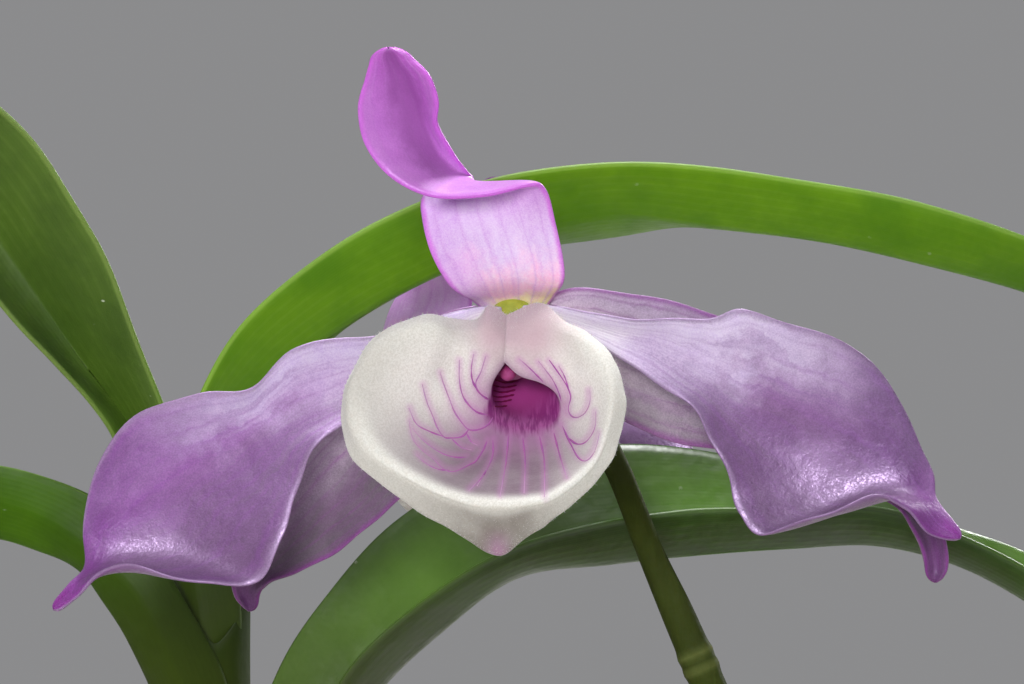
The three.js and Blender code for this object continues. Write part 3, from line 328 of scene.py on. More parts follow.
# Leaves out of the front view: cane, share of its height, heading in degrees from +X, length, width,
# and the angles at which the leaf rises and then droops.
OTHER_LEAVES = {
    "front_leaf_low": ("front_cane", 0.86, 232, 92, 15, 52, 62),
    "flowering_leaf_right": ("flowering_cane", 0.8, 318, 84, 14, 26, 74),
    "flowering_leaf_back": ("flowering_cane", 0.66, 20, 80, 14, 38, 60),
    "back_leaf_top": ("back_cane", 0.99, 78, 96, 16, 64, 70),
    "back_leaf_right": ("back_cane", 0.9, 12, 104, 16, 50, 78),
    "back_leaf_left": ("back_cane", 0.8, 140, 100, 16, 48, 72),
    "young_leaf_top": ("young_cane", 0.98, 300, 64, 12, 66, 56),
    "young_leaf_right": ("young_cane", 0.8, 350, 78, 13, 44, 70),
    "young_leaf_front": ("young_cane", 0.62, 250, 70, 12, 34, 70),
}

# Where the clasping foot of the seen leaves is notched, in radians round its cane, and how fast its
# rim climbs from there, in millimetres for each radian.
FOOT_NOTCH = 1.5 * math.pi + 0.24
FOOT_RISE = 4.0

ROOTS = {
    "root_front": {"from": (4, -16), "heading": 262, "reach": 27, "wander": 5},
    "root_left": {"from": (-24, 14), "heading": 168, "reach": 17, "wander": -2},
    "root_right": {"from": (22, -18), "heading": 318, "reach": 15, "wander": 2},
}


# Points and curves

def around(sides):
    """The angles of a ring's points."""
    return 2 * np.pi * np.arange(sides) / sides


def place(points):
    """Front-view readings as points about the view's centre."""
    points = np.asarray(points, float)
    spread = 1 + points[..., 1:2] / VIEW_DISTANCE
    return points * np.concatenate([spread, np.ones_like(spread), spread], axis=-1)


def unit(vectors):
    return vectors / np.maximum(np.linalg.norm(vectors, axis=-1, keepdims=True), 1e-9)


def at_shares(points, shares):
    """The smooth curve through points, at shares of its length in points. Works along the first axis."""
    points = np.asarray(points, float)
    last = len(points) - 1
    t = np.clip(np.asarray(shares, float), 0, 1) * last
    k = np.minimum(t.astype(int), last - 1)
    w = (t - k).reshape((-1,) + (1,) * (points.ndim - 1))
    ends = np.concatenate([2 * points[:1] - points[1:2], points, 2 * points[-1:] - points[-2:-1]])
    before, start, end, after = (ends[k + offset] for offset in range(4))
    leave = 0.5 * (end - before)
    arrive = 0.5 * (after - start)
    return (
        start * (2 * w**3 - 3 * w**2 + 1)
        + leave * (w**3 - 2 * w**2 + w)
        + end * (3 * w**2 - 2 * w**3)
        + arrive * (w**3 - w**2)
    )


def smooth(points, steps):
    return at_shares(points, np.linspace(0, 1, steps + 1))


def blade_shares(rows):
    """Shares of a blade's length, closer together towards its tip."""
    return 1 - (1 - np.linspace(0, 1, rows + 1)) ** 1.25


def hump(x, middle, width, power=2):
    """1 at middle, and less with the distance from it, counted in widths."""
    return np.exp(-(((x - middle) / width) ** power))


def ramp_up(x, low, high):
    """0 below low, 1 above high, and smooth between."""
    t = np.clip((np.asarray(x, float) - low) / (high - low), 0, 1)
    return t * t * (3 - 2 * t)


def turned(points, turn=0, lean=0, roll=0):
    """Points turned by roll about Y, then lean about X, then turn about Z, in degrees."""
    a, b, c = (math.radians(angle) for angle in (turn, lean, roll))
    about_z = np.array([[math.cos(a), -math.sin(a), 0], [math.sin(a), math.cos(a), 0], [0, 0, 1]])
    about_x = np.array([[1, 0, 0], [0, math.cos(b), -math.sin(b)], [0, math.sin(b), math.cos(b)]])
    about_y = np.array([[math.cos(c), 0, math.sin(c)], [0, 1, 0], [-math.sin(c), 0, math.cos(c)]])
    return points @ (about_z @ about_x @ about_y).T


def normals_of(grid):
    return unit(np.cross(np.gradient(grid, axis=1), np.gradient(grid, axis=0)))


# Meshes

def add(name, data):
    """A new object in the scene."""
    made = bpy.data.objects.new(name, data)
    bpy.context.scene.collection.objects.link(made)
    return made


def mesh_of(name, vertices, faces):
    """A mesh from points in millimetres."""
    mesh = bpy.data.meshes.new(name)
    mesh.from_pydata((np.asarray(vertices) * MM).tolist(), [], faces)
    return mesh


def build(name, vertices, faces, material, slot, node=None, data=None, uv=None, flat=False):
    """A piece of the plant, in millimetres about the pot's foot, that rides on the row's one body."""
    mesh = mesh_of(name, vertices, faces)
    if not flat:
        mesh.polygons.foreach_set("use_smooth", [True] * len(mesh.polygons))
    for key, values in (data or {}).items():
        mesh.attributes.new(key, "FLOAT", "POINT").data.foreach_set("value", np.asarray(values, np.float32))
    if uv is not None:
        corners = np.empty(len(mesh.loops), np.int32)
        mesh.loops.foreach_get("vertex_index", corners)
        mesh.uv_layers.new(name="UVMap").data.foreach_set("uv", uv[corners].astype(np.float32).ravel())
    mesh.update()
    piece = add(name, mesh)
    mesh.materials.append(material)
    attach(piece, "root")
    if node:
        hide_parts(node)
    return piece


def sheet_parts(grid, thickness, edge=0.4, front=1, data=None, shares=None):
    """Vertices, faces, data and UVs of a closed sheet round a grid of points, thinner towards its
    edges and rounded there. The side with front times its normal is the upper one, where face is 1."""
    rows, columns = grid.shape[:2]
    normals = normals_of(grid)
    v = np.abs(np.linspace(-1, 1, columns))[None, :]
    s = np.linspace(0, 1, rows)[:, None]
    thin = 1 - (1 - edge) * np.maximum(v**12, s**60 * np.ones_like(v))
    half = (0.5 * thickness * thin)[..., None]
    down = (grid - normals * half).reshape(-1, 3)
    up = (grid + normals * half).reshape(-1, 3)
    index = np.arange(rows * columns).reshape(rows, columns)
    loop = np.concatenate([index[0, :-1], index[:-1, -1], index[-1, :0:-1], index[:0:-1, 0]])
    flow = np.gradient(grid, axis=0).reshape(-1, 3)
    cross = np.gradient(grid, axis=1).reshape(-1, 3)
    row, column = np.divmod(loop, columns)
    out = unit(cross[loop]) * np.where(column == 0, -1.0, np.where(column == columns - 1, 1.0, 0.0))[:, None]
    out += unit(flow[loop]) * np.where(row == 0, -1.0, np.where(row == rows - 1, 1.0, 0.0))[:, None]
    rim = grid.reshape(-1, 3)[loop] + unit(out) * half.reshape(-1, 1)[loop] * 0.8
    count = rows * columns
    a = index[:-1, :-1].ravel()
    b = index[:-1, 1:].ravel()
    c = index[1:, 1:].ravel()
    d = index[1:, :-1].ravel()
    top = np.stack([a, b, c, d], axis=1) + count
    bottom = np.stack([a, d, c, b], axis=1)
    here = np.arange(len(loop))
    there = np.roll(here, -1)
    upper = np.stack([loop + count, here + 2 * count, there + 2 * count, loop[there] + count], axis=1)
    lower = np.stack([here + 2 * count, loop, loop[there], there + 2 * count], axis=1)
    faces = np.concatenate([top, bottom, upper, lower]).tolist()
    vertices = np.concatenate([down, up, rim])
    shares = np.linspace(0, 1, rows) if shares is None else shares
    across, along = np.meshgrid(np.linspace(0, 1, columns), shares)
    flat_uv = np.stack([across, along], axis=-1).reshape(-1, 2)
    uv = np.concatenate([flat_uv, flat_uv, flat_uv[loop]])
    sides = [np.full(count, front < 0), np.full(count, front > 0), np.full(len(loop), 0.5)]
    spread = {"face": np.concatenate(sides)}
    for key, values in (data or {}).items():
        values = np.asarray(values, float).ravel()
        spread[key] = np.concatenate([values, values, values[loop]])
    return vertices, faces, spread, uv


def blade_grid(stations, rows, columns, keel, tip_width=TIP_WIDTH, blunt=0.04):
    """The points of a blade, as the part's source lays them, with its last blunt share rounded."""
    placed = [place(station) for station in stations]
    tip = placed.pop()[0]
    half = unit(placed[-1][2] - placed[-1][0]) * tip_width / 2
    placed.append(np.array([tip - half, tip, tip + half]))
    shares = blade_shares(rows)
    rails = at_shares(placed, shares)
    one, middle, other = rails[:, 0], rails[:, 1], rails[:, 2]
    end = np.clip((shares - 1 + blunt) / blunt, 0, 1)
    rounding = np.sqrt(np.maximum(1 - end**2, 0.01))[:, None, None]
    v = np.linspace(-1, 1, columns + 1)[None, :, None]
    slope = ((other - one) / 2)[:, None] * rounding
    rise = ((one + other) / 2 - middle)[:, None] * rounding
    return middle[:, None] + slope * v + rise * np.abs(v) ** keel


def ripple(grid, height, waves, phase, power=4):
    """Moves the margins of a blade up and down, in waves that die out towards its midrib."""
    rows, columns = grid.shape[:2]
    s = blade_shares(rows - 1)[:, None]
    v = np.linspace(-1, 1, columns)[None, :]
    fade = ramp_up(s, 0.05, 0.25) * (1 - ramp_up(s, 0.8, 0.95))
    turns = 2 * np.pi * waves * s + phase
    wave = np.sin(turns + 2.1 * np.sign(v)) + 0.5 * np.sin(2.35 * turns)
    return grid + normals_of(grid) * (height * wave * fade * np.abs(v) ** power)[..., None]


def tube_rings(points, radii, sides, across):
    """Rings square to the way the points run, as the part's source lays them."""
    points = np.asarray(points, float)
    ahead = unit(np.gradient(points, axis=0))
    side = unit(np.cross(np.asarray(across, float), ahead))
    front = np.cross(ahead, side)
    angle = around(sides)[None, :, None]
    radii = np.broadcast_to(np.asarray(radii, float).reshape(len(points), -1), (len(points), sides))
    wheel = side[:, None] * np.cos(angle) + front[:, None] * np.sin(angle)
    return points[:, None] + wheel * radii[..., None]


def wound(rings, poles=None):
    """Vertices and faces of rings of points, with fans round two poles, or else with flat ends."""
    count, sides = rings.shape[:2]
    points = rings.reshape(-1, 3)
    index = np.arange(count * sides).reshape(count, sides)
    near = np.roll(index, -1, axis=1)
    faces = np.stack([index[:-1], near[:-1], near[1:], index[1:]], axis=-1).reshape(-1, 4).tolist()
    if poles is None:
        return points, faces + [index[0, ::-1].tolist(), index[-1].tolist()]
    faces += [[count * sides, int(q), int(p)] for p, q in zip(index[0], near[0])]
    faces += [[count * sides + 1, int(p), int(q)] for p, q in zip(index[-1], near[-1])]
    return np.concatenate([points, poles]), faces


def tube_parts(rings):
    """Vertices and faces of a round body with domed ends."""
    def dome(end, next_to_it):
        centre = end.mean(axis=0)
        outward = unit(centre - next_to_it.mean(axis=0))
        height = DOME * np.linalg.norm(end - centre, axis=1).mean()
        steps = [centre + (end - centre) * share + outward * height * lift for share, lift in DOME_STEPS]
        return steps, centre + outward * height

    back, back_pole = dome(rings[0], rings[1])
    ahead, ahead_pole = dome(rings[-1], rings[-2])
    return wound(np.concatenate([back[::-1], rings, ahead]), [back_pole, ahead_pole])


def tube_data(values, last=0, poles=(0, 0)):
    """A value for each point of tube_parts: 0 on the first dome, the rings' own, and last on the other."""
    dome = np.ones(len(DOME_STEPS) * values.shape[1])
    return np.concatenate([0 * dome, values.ravel(), last * dome, poles])


def joined(parts):
    """Several (vertices, faces) lists as one."""
    vertices = []
    faces = []
    start = 0
    for some, rest in parts:
        vertices.append(some)
        faces += [[start + k for k in face] for face in rest]
        start += len(some)
    return np.concatenate(vertices), faces


def ball_parts(centre, radii, dent=None):
    """Vertices and faces of a ball, pushed in where dent(directions) is below 1."""
    rings, sides = 24, 32
    polar = np.pi * (np.arange(rings)[:, None] + 0.5) / rings
    angle = around(sides)[None, :]
    directions = np.stack([
        np.sin(polar) * np.cos(angle), np.sin(polar) * np.sin(angle), -np.cos(polar) * np.ones_like(angle),
    ], axis=-1)
    swell = 1 if dent is None else dent(directions)
    points = np.asarray(centre) + directions * np.asarray(radii) * swell
    return wound(points, [np.asarray(centre) - [0, 0, radii[2]], np.asarray(centre) + [0, 0, radii[2]]])


# Materials

def rgb(red, green, blue):
    """A screen colour from 0 to 255 as the linear colour that shaders take."""
    def linear(value):
        value /= 255
        return value / 12.92 if value <= 0.04045 else ((value + 0.055) / 1.055) ** 2.4

    return (linear(red), linear(green), linear(blue), 1.0)


class Look:
    """A material with one principled surface, and short ways to feed it."""

    def __init__(self, name, roughness=0.5, **surface):
        self.material = bpy.data.materials.new(name)
        self.material.use_nodes = True
        self.tree = self.material.node_tree
        self.surface = self.tree.nodes["Principled BSDF"]
        self.surface.inputs["Roughness"].default_value = roughness
        for key, value in surface.items():
            self.surface.inputs[key.replace("_", " ")].default_value = value

    def node(self, kind, settings=None, **inputs):
        made = self.tree.nodes.new("ShaderNode" + kind)
        for key, value in (settings or {}).items():
            setattr(made, key, value)
        for key, value in inputs.items():
            self.feed(made.inputs[key.replace("_", " ")], value)
        return made

    def feed(self, socket, value):
        if isinstance(value, bpy.types.NodeSocket):
            self.tree.links.new(value, socket)
        else:
            socket.default_value = value

    def data(self, name):
        return self.node("Attribute", {"attribute_name": name}).outputs["Fac"]

    def uv(self):
        split = self.node("SeparateXYZ", Vector=self.node("UVMap").outputs["UV"])
        return split.outputs["X"], split.outputs["Y"]

    def place(self, scale=(1, 1, 1)):
        where = self.node("TexCoord").outputs["Object"]
        return self.node("Mapping", Vector=where, Scale=scale).outputs["Vector"]

    def math(self, operation, a, b, clamp=False):
        made = self.node("Math", {"operation": operation, "use_clamp": clamp})
        for socket, value in zip(made.inputs, (a, b, 0.0)):
            self.feed(socket, value)
        return made.outputs[0]

    def times(self, a, b):
        return self.math("MULTIPLY", a, b)

    def rest(self, share):
        """What a share leaves of 1."""
        return self.math("SUBTRACT", 1.0, share)

    def swing(self, value, width):
        """A value from 0 to 1 as one that swings about 0."""
        return self.times(self.math("SUBTRACT", value, 0.5), width)

    def from_middle(self, share):
        """0 halfway across and 1 at either edge."""
        return self.math("ABSOLUTE", self.math("SUBTRACT", self.times(share, 2.0), 1.0), 0.0)

    def lines(self, share, count):
        """Lines side by side, each 1 along its middle."""
        return self.math("PINGPONG", self.times(share, count * 2.0), 1.0)

    def noise(self, size, detail=3.0, rough=0.55, scale=(1, 1, 1)):
        """Noise whose blobs are about size millimetres across."""
        where = self.place(scale)
        made = self.node("TexNoise", Vector=where, Scale=1 / (size * MM), Detail=detail, Roughness=rough)
        return made.outputs["Fac"]

    def cells(self, size, scale=(1, 1, 1)):
        made = self.node("TexVoronoi", Vector=self.place(scale), Scale=1 / (size * MM))
        return made.outputs["Distance"]

    def ramp(self, value, stops):
        """Colours or strengths at (value, colour) stops, and eased between them."""
        made = self.node("ValToRGB", Fac=value)
        made.color_ramp.interpolation = "EASE"
        elements = made.color_ramp.elements
        while len(elements) < len(stops):
            elements.new(0.5)
        for element, (position, colour) in zip(elements, stops):
            element.position = position
            element.color = colour if isinstance(colour, tuple) else (colour, colour, colour, 1)
        return made.outputs["Color"]

    def fade(self, value, low=0.3, high=0.7, most=1.0):
        """0 up to low, and most from high on."""
        return self.ramp(value, [(low, 0.0), (high, most)])

    def mix(self, factor, a, b, blend="MIX"):
        made = self.node("Mix", {"data_type": "RGBA", "blend_type": blend})
        for key, value in (("Factor", factor), ("A", a), ("B", b)):
            socket = next(s for s in made.inputs if s.name == key and s.enabled)
            self.feed(socket, value)
        return next(s for s in made.outputs if s.enabled)

    def bump(self, *layers):
        """Relief from (height, depth in millimetres) pairs, one over the other."""
        normal = None
        for height, depth in layers:
            made = self.node("Bump", Height=height, Strength=1.0, Distance=depth * MM)
            if normal is not None:
                self.feed(made.inputs["Normal"], normal)
            normal = made.outputs["Normal"]
        self.feed(self.surface.inputs["Normal"], normal)

    def colour(self, value):
        self.feed(self.surface.inputs["Base Color"], value)

    def rough(self, value):
        self.feed(self.surface.inputs["Roughness"], value)


def petal_look(name, stops, sides, under, vein, margin, veins=9, edging=0.03, drawn=0.2, trough_shade=None,
               shine=0.55):
    """Petal tissue: colour by length, painted light along its first edge and painted shade towards its other
    edge, clouds and veins, its other face darker, partly its own colour and partly painted shade, and a
    painted shade down the middle of its far half where a colour is given for one."""
    look = Look(
        name, roughness=0.4, Subsurface_Weight=0.15, Subsurface_Scale=0.5 * MM,
        Subsurface_Radius=(1.0, 0.6, 0.9), Specular_IOR_Level=shine, Specular_Tint=rgb(236, 208, 255),
    )
    across, along = look.uv()
    cloud = look.noise(4.5, 5, 0.62)
    patches = look.noise(1.5, 4, 0.65)
    sway = look.swing(cloud, 0.32)
    side = look.math("ADD", across, sway)
    colour = look.ramp(look.math("ADD", along, sway), stops)
    # The first colour is painted light along the first edge, the second painted shade towards the other edge.
    lit_edge, shaded_side = sides
    # Painted light: the first edge paler, out to about halfway along.
    pale = look.ramp(side, [(0.04, 0.8), (0.4, 0.0)])
    pale = look.times(pale, look.ramp(along, [(0.42, 1.0), (0.66, 0.12)]))
    colour = look.mix(pale, colour, lit_edge)
    # Painted shade over the half towards the other edge, fading out near the tip.
    painted_shade = look.times(look.fade(side, 0.3, 0.7, 0.85), look.fade(along, 0.2, 0.45))
    painted_shade = look.times(painted_shade, look.ramp(along, [(0.76, 1.0), (0.92, 0.2)]))
    colour = look.mix(painted_shade, colour, shaded_side)
    flow = look.node("CombineXYZ", X=look.times(side, 15.0), Y=look.times(along, 3.5))
    streaks = look.node("TexNoise", Vector=flow.outputs["Vector"], Scale=1.0, Detail=3.0, Roughness=0.55)
    streak = look.fade(streaks.outputs["Fac"], 0.42, 0.68)
    lane = look.math("ADD", across, look.swing(cloud, 0.06))
    line = look.math("POWER", look.lines(lane, veins), 6.0)
    line = look.times(line, look.times(patches, 2.0 * drawn))
    colour = look.mix(look.times(streak, 0.28), colour, vein)
    colour = look.mix(line, colour, vein)
    # Painted shade down the middle of the far half, where the blade folds into a groove.
    if trough_shade:
        deep = look.ramp(look.from_middle(side), [(0.2, 0.8), (0.75, 0.0)])
        colour = look.mix(look.times(deep, look.fade(along, 0.5, 0.64)), colour, trough_shade)
    colour = look.mix(0.5, colour, look.ramp(patches, [(0.3, 0.42), (0.7, 0.58)]), "OVERLAY")
    edge = look.math("ADD", look.from_middle(across), look.swing(patches, 0.08))
    colour = look.mix(look.fade(edge, 1 - 2.4 * edging, 1.0, 0.7), colour, margin)
    grain = look.noise(0.14, 2, 0.7)
    colour = look.mix(0.5, colour, look.ramp(grain, [(0.3, 0.36), (0.7, 0.64)]), "OVERLAY")
    # The other face takes under, partly its own colour and partly painted shade.
    look.colour(look.mix(look.times(look.rest(look.data("face")), 0.45), colour, under))
    look.rough(look.ramp(look.noise(0.2, 2, 0.7), [(0.35, 0.34), (0.65, 0.54)]))
    look.bump((line, 0.012), (look.cells(0.2), 0.006), (streak, 0.008), (patches, 0.006), (cloud, 0.2))
    return look.material


def lip_look():
    """Downy white tissue with painted shade in its funnel, on its lower and side bands, in its folds and on
    its upper lobes, a purple throat and pink lobes at the top.
    """
    look = Look(
        "lip_tissue", roughness=0.75, Subsurface_Weight=0.3, Subsurface_Scale=0.7 * MM,
        Subsurface_Radius=(1.0, 0.85, 0.8), Sheen_Roughness=0.5, Specular_IOR_Level=0.15,
    )
    down = look.noise(0.16, 3, 0.7)
    soft = look.ramp(look.noise(3.5, 4, 0.6), [(0.3, 0.84), (0.7, 1.0)])
    inner = look.data("face")
    colour = look.mix(look.fade(down, 0.35, 0.65), rgb(222, 219, 211), rgb(240, 238, 232))
    # Painted shade on the funnel's floor.
    hollow = look.times(look.times(look.data("hollow"), inner), soft)
    colour = look.mix(hollow, colour, rgb(118, 92, 110))
    colour = look.mix(look.times(look.data("pink"), 0.7), colour, rgb(214, 170, 190))
    colour = look.mix(look.times(look.data("shade"), soft), colour, rgb(116, 108, 101))
    colour = look.mix(look.times(look.data("blush"), inner), colour, rgb(176, 108, 168))
    colour = look.mix(look.times(look.data("vein"), 0.4), colour, rgb(196, 122, 188))
    throat = look.times(look.data("throat"), inner)
    inward = (1, 0.1, 0.12)
    flames = look.times(look.noise(0.3, 3, 0.7, inward), 1.15)
    ragged = look.math("SUBTRACT", look.times(throat, 2.0), flames, clamp=True)
    streak = look.fade(look.noise(0.3, 3, 0.6, inward), 0.4, 0.6)
    purple = look.mix(streak, rgb(130, 44, 116), rgb(168, 84, 152))
    purple = look.mix(look.data("deep"), purple, rgb(160, 60, 132))
    look.colour(look.mix(ragged, colour, purple))
    look.feed(look.surface.inputs["Sheen Weight"], look.times(look.rest(ragged), 0.4))
    look.bump((down, 0.03), (look.noise(0.8), 0.03))
    return look.material


def leaf_look(name, upper, lower, pale, gloss, flecks, foot_reach=0.16, pale_rim_and_highlight=0.5, shine=0.28):
    """A waxy, dusty strap leaf with faint parallel veins, a pale edge that is partly painted highlight, and a
    duller, darker foot and tip.
    """
    look = Look(
        name, roughness=gloss, Subsurface_Weight=0.1, Subsurface_Scale=0.8 * MM,
        Subsurface_Radius=(0.5, 1.0, 0.2), Specular_IOR_Level=shine,
    )
    across, along = look.uv()
    lane = look.math("ADD", across, look.swing(look.noise(12, 2), 0.02))
    line = look.lines(lane, LEAF_VEINS)
    hair = look.lines(lane, 4 * LEAF_VEINS)
    cloud = look.noise(9, 4, 0.6)
    mottle = look.noise(1.4, 3, 0.6)
    high = look.fade(cloud)
    colour = look.mix(look.data("face"), look.mix(high, *lower), look.mix(high, *upper))
    colour = look.mix(look.times(look.math("POWER", line, 4.0), look.times(high, 0.14)), colour, pale)
    colour = look.mix(look.times(hair, 0.04), colour, pale)
    colour = look.mix(look.times(mottle, 0.2), colour, upper[0])
    foot = look.ramp(along, [(0.04, 0.85), (0.04 + foot_reach, 0.0)])
    colour = look.mix(foot, colour, rgb(52, 60, 16))
    # A pale rim, partly the leaf's own pale margin and partly painted highlight along its edge.
    rim = look.fade(look.from_middle(across), 0.955, 0.99, pale_rim_and_highlight)
    colour = look.mix(look.times(rim, look.rest(foot)), colour, pale)
    colour = look.mix(look.fade(along, 0.64, 1.0, 0.5), colour, rgb(42, 66, 8))
    spot = look.ramp(look.cells(4.5), [(0.03, 1.0), (0.06, 0.0)])
    scratch = look.ramp(look.cells(5.5, (0.35, 1, 1.6)), [(0.02, 1.0), (0.045, 0.0)])
    dust = look.times(look.math("MAXIMUM", spot, scratch), flecks)
    dust = look.times(dust, look.fade(look.noise(1.0, 3, 0.7), 0.45, 0.6))
    look.colour(look.mix(dust, colour, rgb(205, 215, 190)))
    look.rough(look.ramp(mottle, [(0.2, gloss), (0.8, gloss + 0.12)]))
    look.bump((line, 0.008), (hair, 0.002), (mottle, 0.02), (cloud, 0.3))
    return look.material


def stem_look(name, dark, light, scar, gloss, streaked=0.5, shine=0.4):
    """A smooth green or straw stem, streaked along its length, with pale rings at the joints."""
    look = Look(
        name, roughness=gloss, Subsurface_Weight=0.08, Subsurface_Scale=0.6 * MM, Specular_IOR_Level=shine,
    )
    streaks = look.noise(0.7, 3, 0.6, (1, 1, 0.07))
    fine = look.noise(0.5, 3, 0.6)
    colour = look.mix(look.fade(look.noise(8, 4, 0.6)), dark, light)
    colour = look.mix(look.fade(streaks, 0.35, 0.65, streaked), colour, scar)
    colour = look.mix(look.data("ring"), colour, scar)
    look.colour(look.mix(look.times(fine, 0.25), colour, dark))
    look.rough(look.ramp(fine, [(0.3, gloss - 0.05), (0.7, gloss + 0.2)]))
    look.bump((streaks, 0.12), (fine, 0.04))
    return look.material


def paper_look():
    """The dry papery sheath round a cane."""
    look = Look("papery_sheath", roughness=0.7, Subsurface_Weight=0.2, Subsurface_Scale=0.5 * MM)
    fibres = look.noise(0.35, 4, 0.65, (1, 1, 0.05))
    cloud = look.noise(5, 4, 0.6)
    colour = look.mix(look.fade(cloud), rgb(172, 160, 128), rgb(214, 206, 180))
    look.colour(look.mix(look.fade(fibres, 0.4, 0.7, 0.6), colour, rgb(120, 106, 76)))
    look.bump((fibres, 0.12), (cloud, 0.2))
    return look.material


def bark_look():
    """Brown bark in plates and fibres, each chip in a tone of its own."""
    look = Look("bark_chips", roughness=0.9)
    plates = look.noise(3.0, 6, 0.65, (1, 1, 2.2))
    fibres = look.noise(0.6, 5, 0.7, (1, 0.25, 1))
    colour = look.mix(look.data("tone"), rgb(70, 44, 28), rgb(138, 92, 58))
    colour = look.mix(look.ramp(plates, [(0.38, 0.9), (0.55, 0.0)]), colour, rgb(40, 26, 18))
    look.colour(look.mix(look.fade(fibres, 0.45, 0.75, 0.6), colour, rgb(168, 124, 84)))
    look.rough(look.ramp(fibres, [(0.3, 0.75), (0.7, 0.95)]))
    look.bump((plates, 0.9), (fibres, 0.35))
    return look.material


def clay_look():
    """Fired clay with white bloom, damp towards its foot."""
    look = Look("fired_clay", roughness=0.85)
    cloud = look.noise(26, 5, 0.6)
    bloom = look.noise(14, 6, 0.65)
    grit = look.noise(0.7, 4, 0.7)
    turned_lines = look.noise(1.2, 3, 0.5, (0.02, 0.02, 1))
    colour = look.mix(look.fade(cloud), rgb(164, 88, 56), rgb(196, 116, 80))
    colour = look.mix(look.fade(grit, 0.55, 0.75, 0.5), colour, rgb(222, 160, 124))
    colour = look.mix(look.fade(bloom, 0.52, 0.68, 0.34), colour, rgb(222, 206, 190))
    height = look.node("SeparateXYZ", Vector=look.place()).outputs["Z"]
    low = look.rest(look.times(height, 24.0))
    damp = look.times(look.fade(low, 0.0, 1.0, 0.5), look.ramp(cloud, [(0.35, 0.2), (0.6, 1.0)]))
    look.colour(look.mix(damp, colour, rgb(104, 78, 56)))
    look.rough(look.ramp(grit, [(0.3, 0.78), (0.7, 0.95)]))
    look.bump((turned_lines, 0.12), (grit, 0.1), (cloud, 0.3))
    return look.material


def root_look():
    """Grey root skin with a green tip."""
    look = Look("root_skin", roughness=0.75)
    cloud = look.noise(5, 4, 0.6)
    fine = look.noise(0.5, 4, 0.7)
    colour = look.mix(look.fade(cloud, 0.35, 0.7), rgb(150, 152, 122), rgb(206, 204, 186))
    colour = look.mix(look.times(look.data("ring"), 0.9), colour, rgb(96, 128, 50))
    look.colour(look.mix(look.fade(fine, 0.5, 0.75, 0.5), colour, rgb(120, 110, 84)))
    look.bump((fine, 0.12), (cloud, 0.2))
    return look.material


def wax_look(name, dark, light, gloss):
    """Waxy tissue between two colours."""
    look = Look(name, roughness=gloss, Subsurface_Weight=0.3, Subsurface_Scale=0.6 * MM, Coat_Weight=0.2)
    cloud = look.noise(1.2, 3, 0.6)
    fine = look.noise(0.2, 3, 0.6)
    look.colour(look.mix(look.fade(cloud), dark, light))
    look.rough(look.ramp(fine, [(0.3, gloss - 0.05), (0.7, gloss + 0.15)]))
    look.bump((fine, 0.03), (cloud, 0.06))
    return look.material


def column_look():
    """Yellow-green wax behind, pink in front where the lip wraps it."""
    look = Look("column_wax", roughness=0.6, Subsurface_Weight=0.3, Subsurface_Scale=0.6 * MM)
    cloud = look.noise(1.2, 3, 0.6)
    green = look.mix(look.fade(cloud), rgb(140, 150, 40), rgb(176, 184, 66))
    look.colour(look.mix(look.data("ahead"), green, rgb(168, 84, 138)))
    look.bump((look.noise(0.2), 0.03), (cloud, 0.06))
    return look.material


def vein_look():
    """Pink veins that pale towards their ends."""
    look = Look("lip_vein", roughness=0.7, Subsurface_Weight=0.2, Subsurface_Scale=0.4 * MM)
    tone = look.mix(look.noise(0.6), rgb(158, 64, 152), rgb(188, 98, 180))
    look.colour(look.mix(look.data("fade"), tone, rgb(206, 172, 200)))
    look.bump((look.noise(0.2, 2), 0.01))
    return look.material


def floor_look():
    look = Look("studio_floor", roughness=0.7)
    look.colour(look.mix(look.noise(180), rgb(196, 194, 190), rgb(206, 204, 201)))
    return look.material


# The middle stops are darkened, partly as painted shade.
LEFT_PETAL_LOOK = petal_look(
    "left_petal_tissue",
    [(0.0, rgb(246, 236, 242)), (0.16, rgb(228, 220, 236)), (0.34, rgb(200, 172, 216)),
     (0.55, rgb(150, 102, 164)), (0.76, rgb(120, 60, 134)), (0.9, rgb(138, 58, 152)),
     (1.0, rgb(136, 40, 142))],
    sides=(rgb(216, 202, 234), rgb(114, 86, 120)),
    under=rgb(134, 100, 144), vein=rgb(138, 74, 160), margin=rgb(152, 128, 162),
)
# The right petal's tissue is a darker copy of the left one's, as painted shade.
RIGHT_PETAL_SHADED_LOOK = petal_look(
    "right_petal_tissue_shaded",
    [(0.0, rgb(248, 240, 246)), (0.16, rgb(236, 230, 242)), (0.3, rgb(208, 190, 222)),
     (0.46, rgb(140, 104, 150)), (0.68, rgb(98, 60, 110)), (0.86, rgb(116, 50, 128)),
     (1.0, rgb(126, 34, 134))],
    sides=(rgb(224, 212, 238), rgb(108, 80, 114)),
    under=rgb(134, 100, 144), vein=rgb(132, 84, 152), margin=rgb(132, 108, 142),
)
# The darkest stop, at the tips, and the colour towards the other edge are painted shade.
SEPAL = petal_look(
    "sepal_tissue",
    [(0.0, rgb(226, 210, 218)), (0.22, rgb(166, 154, 164)), (0.6, rgb(134, 114, 138)),
     (0.86, rgb(108, 64, 116)), (1.0, rgb(78, 34, 84))],
    sides=(rgb(186, 170, 192), rgb(98, 90, 96)),
    under=rgb(128, 120, 126), vein=rgb(130, 70, 136), margin=rgb(128, 52, 134),
    veins=7, edging=0.045, drawn=0.35,
)
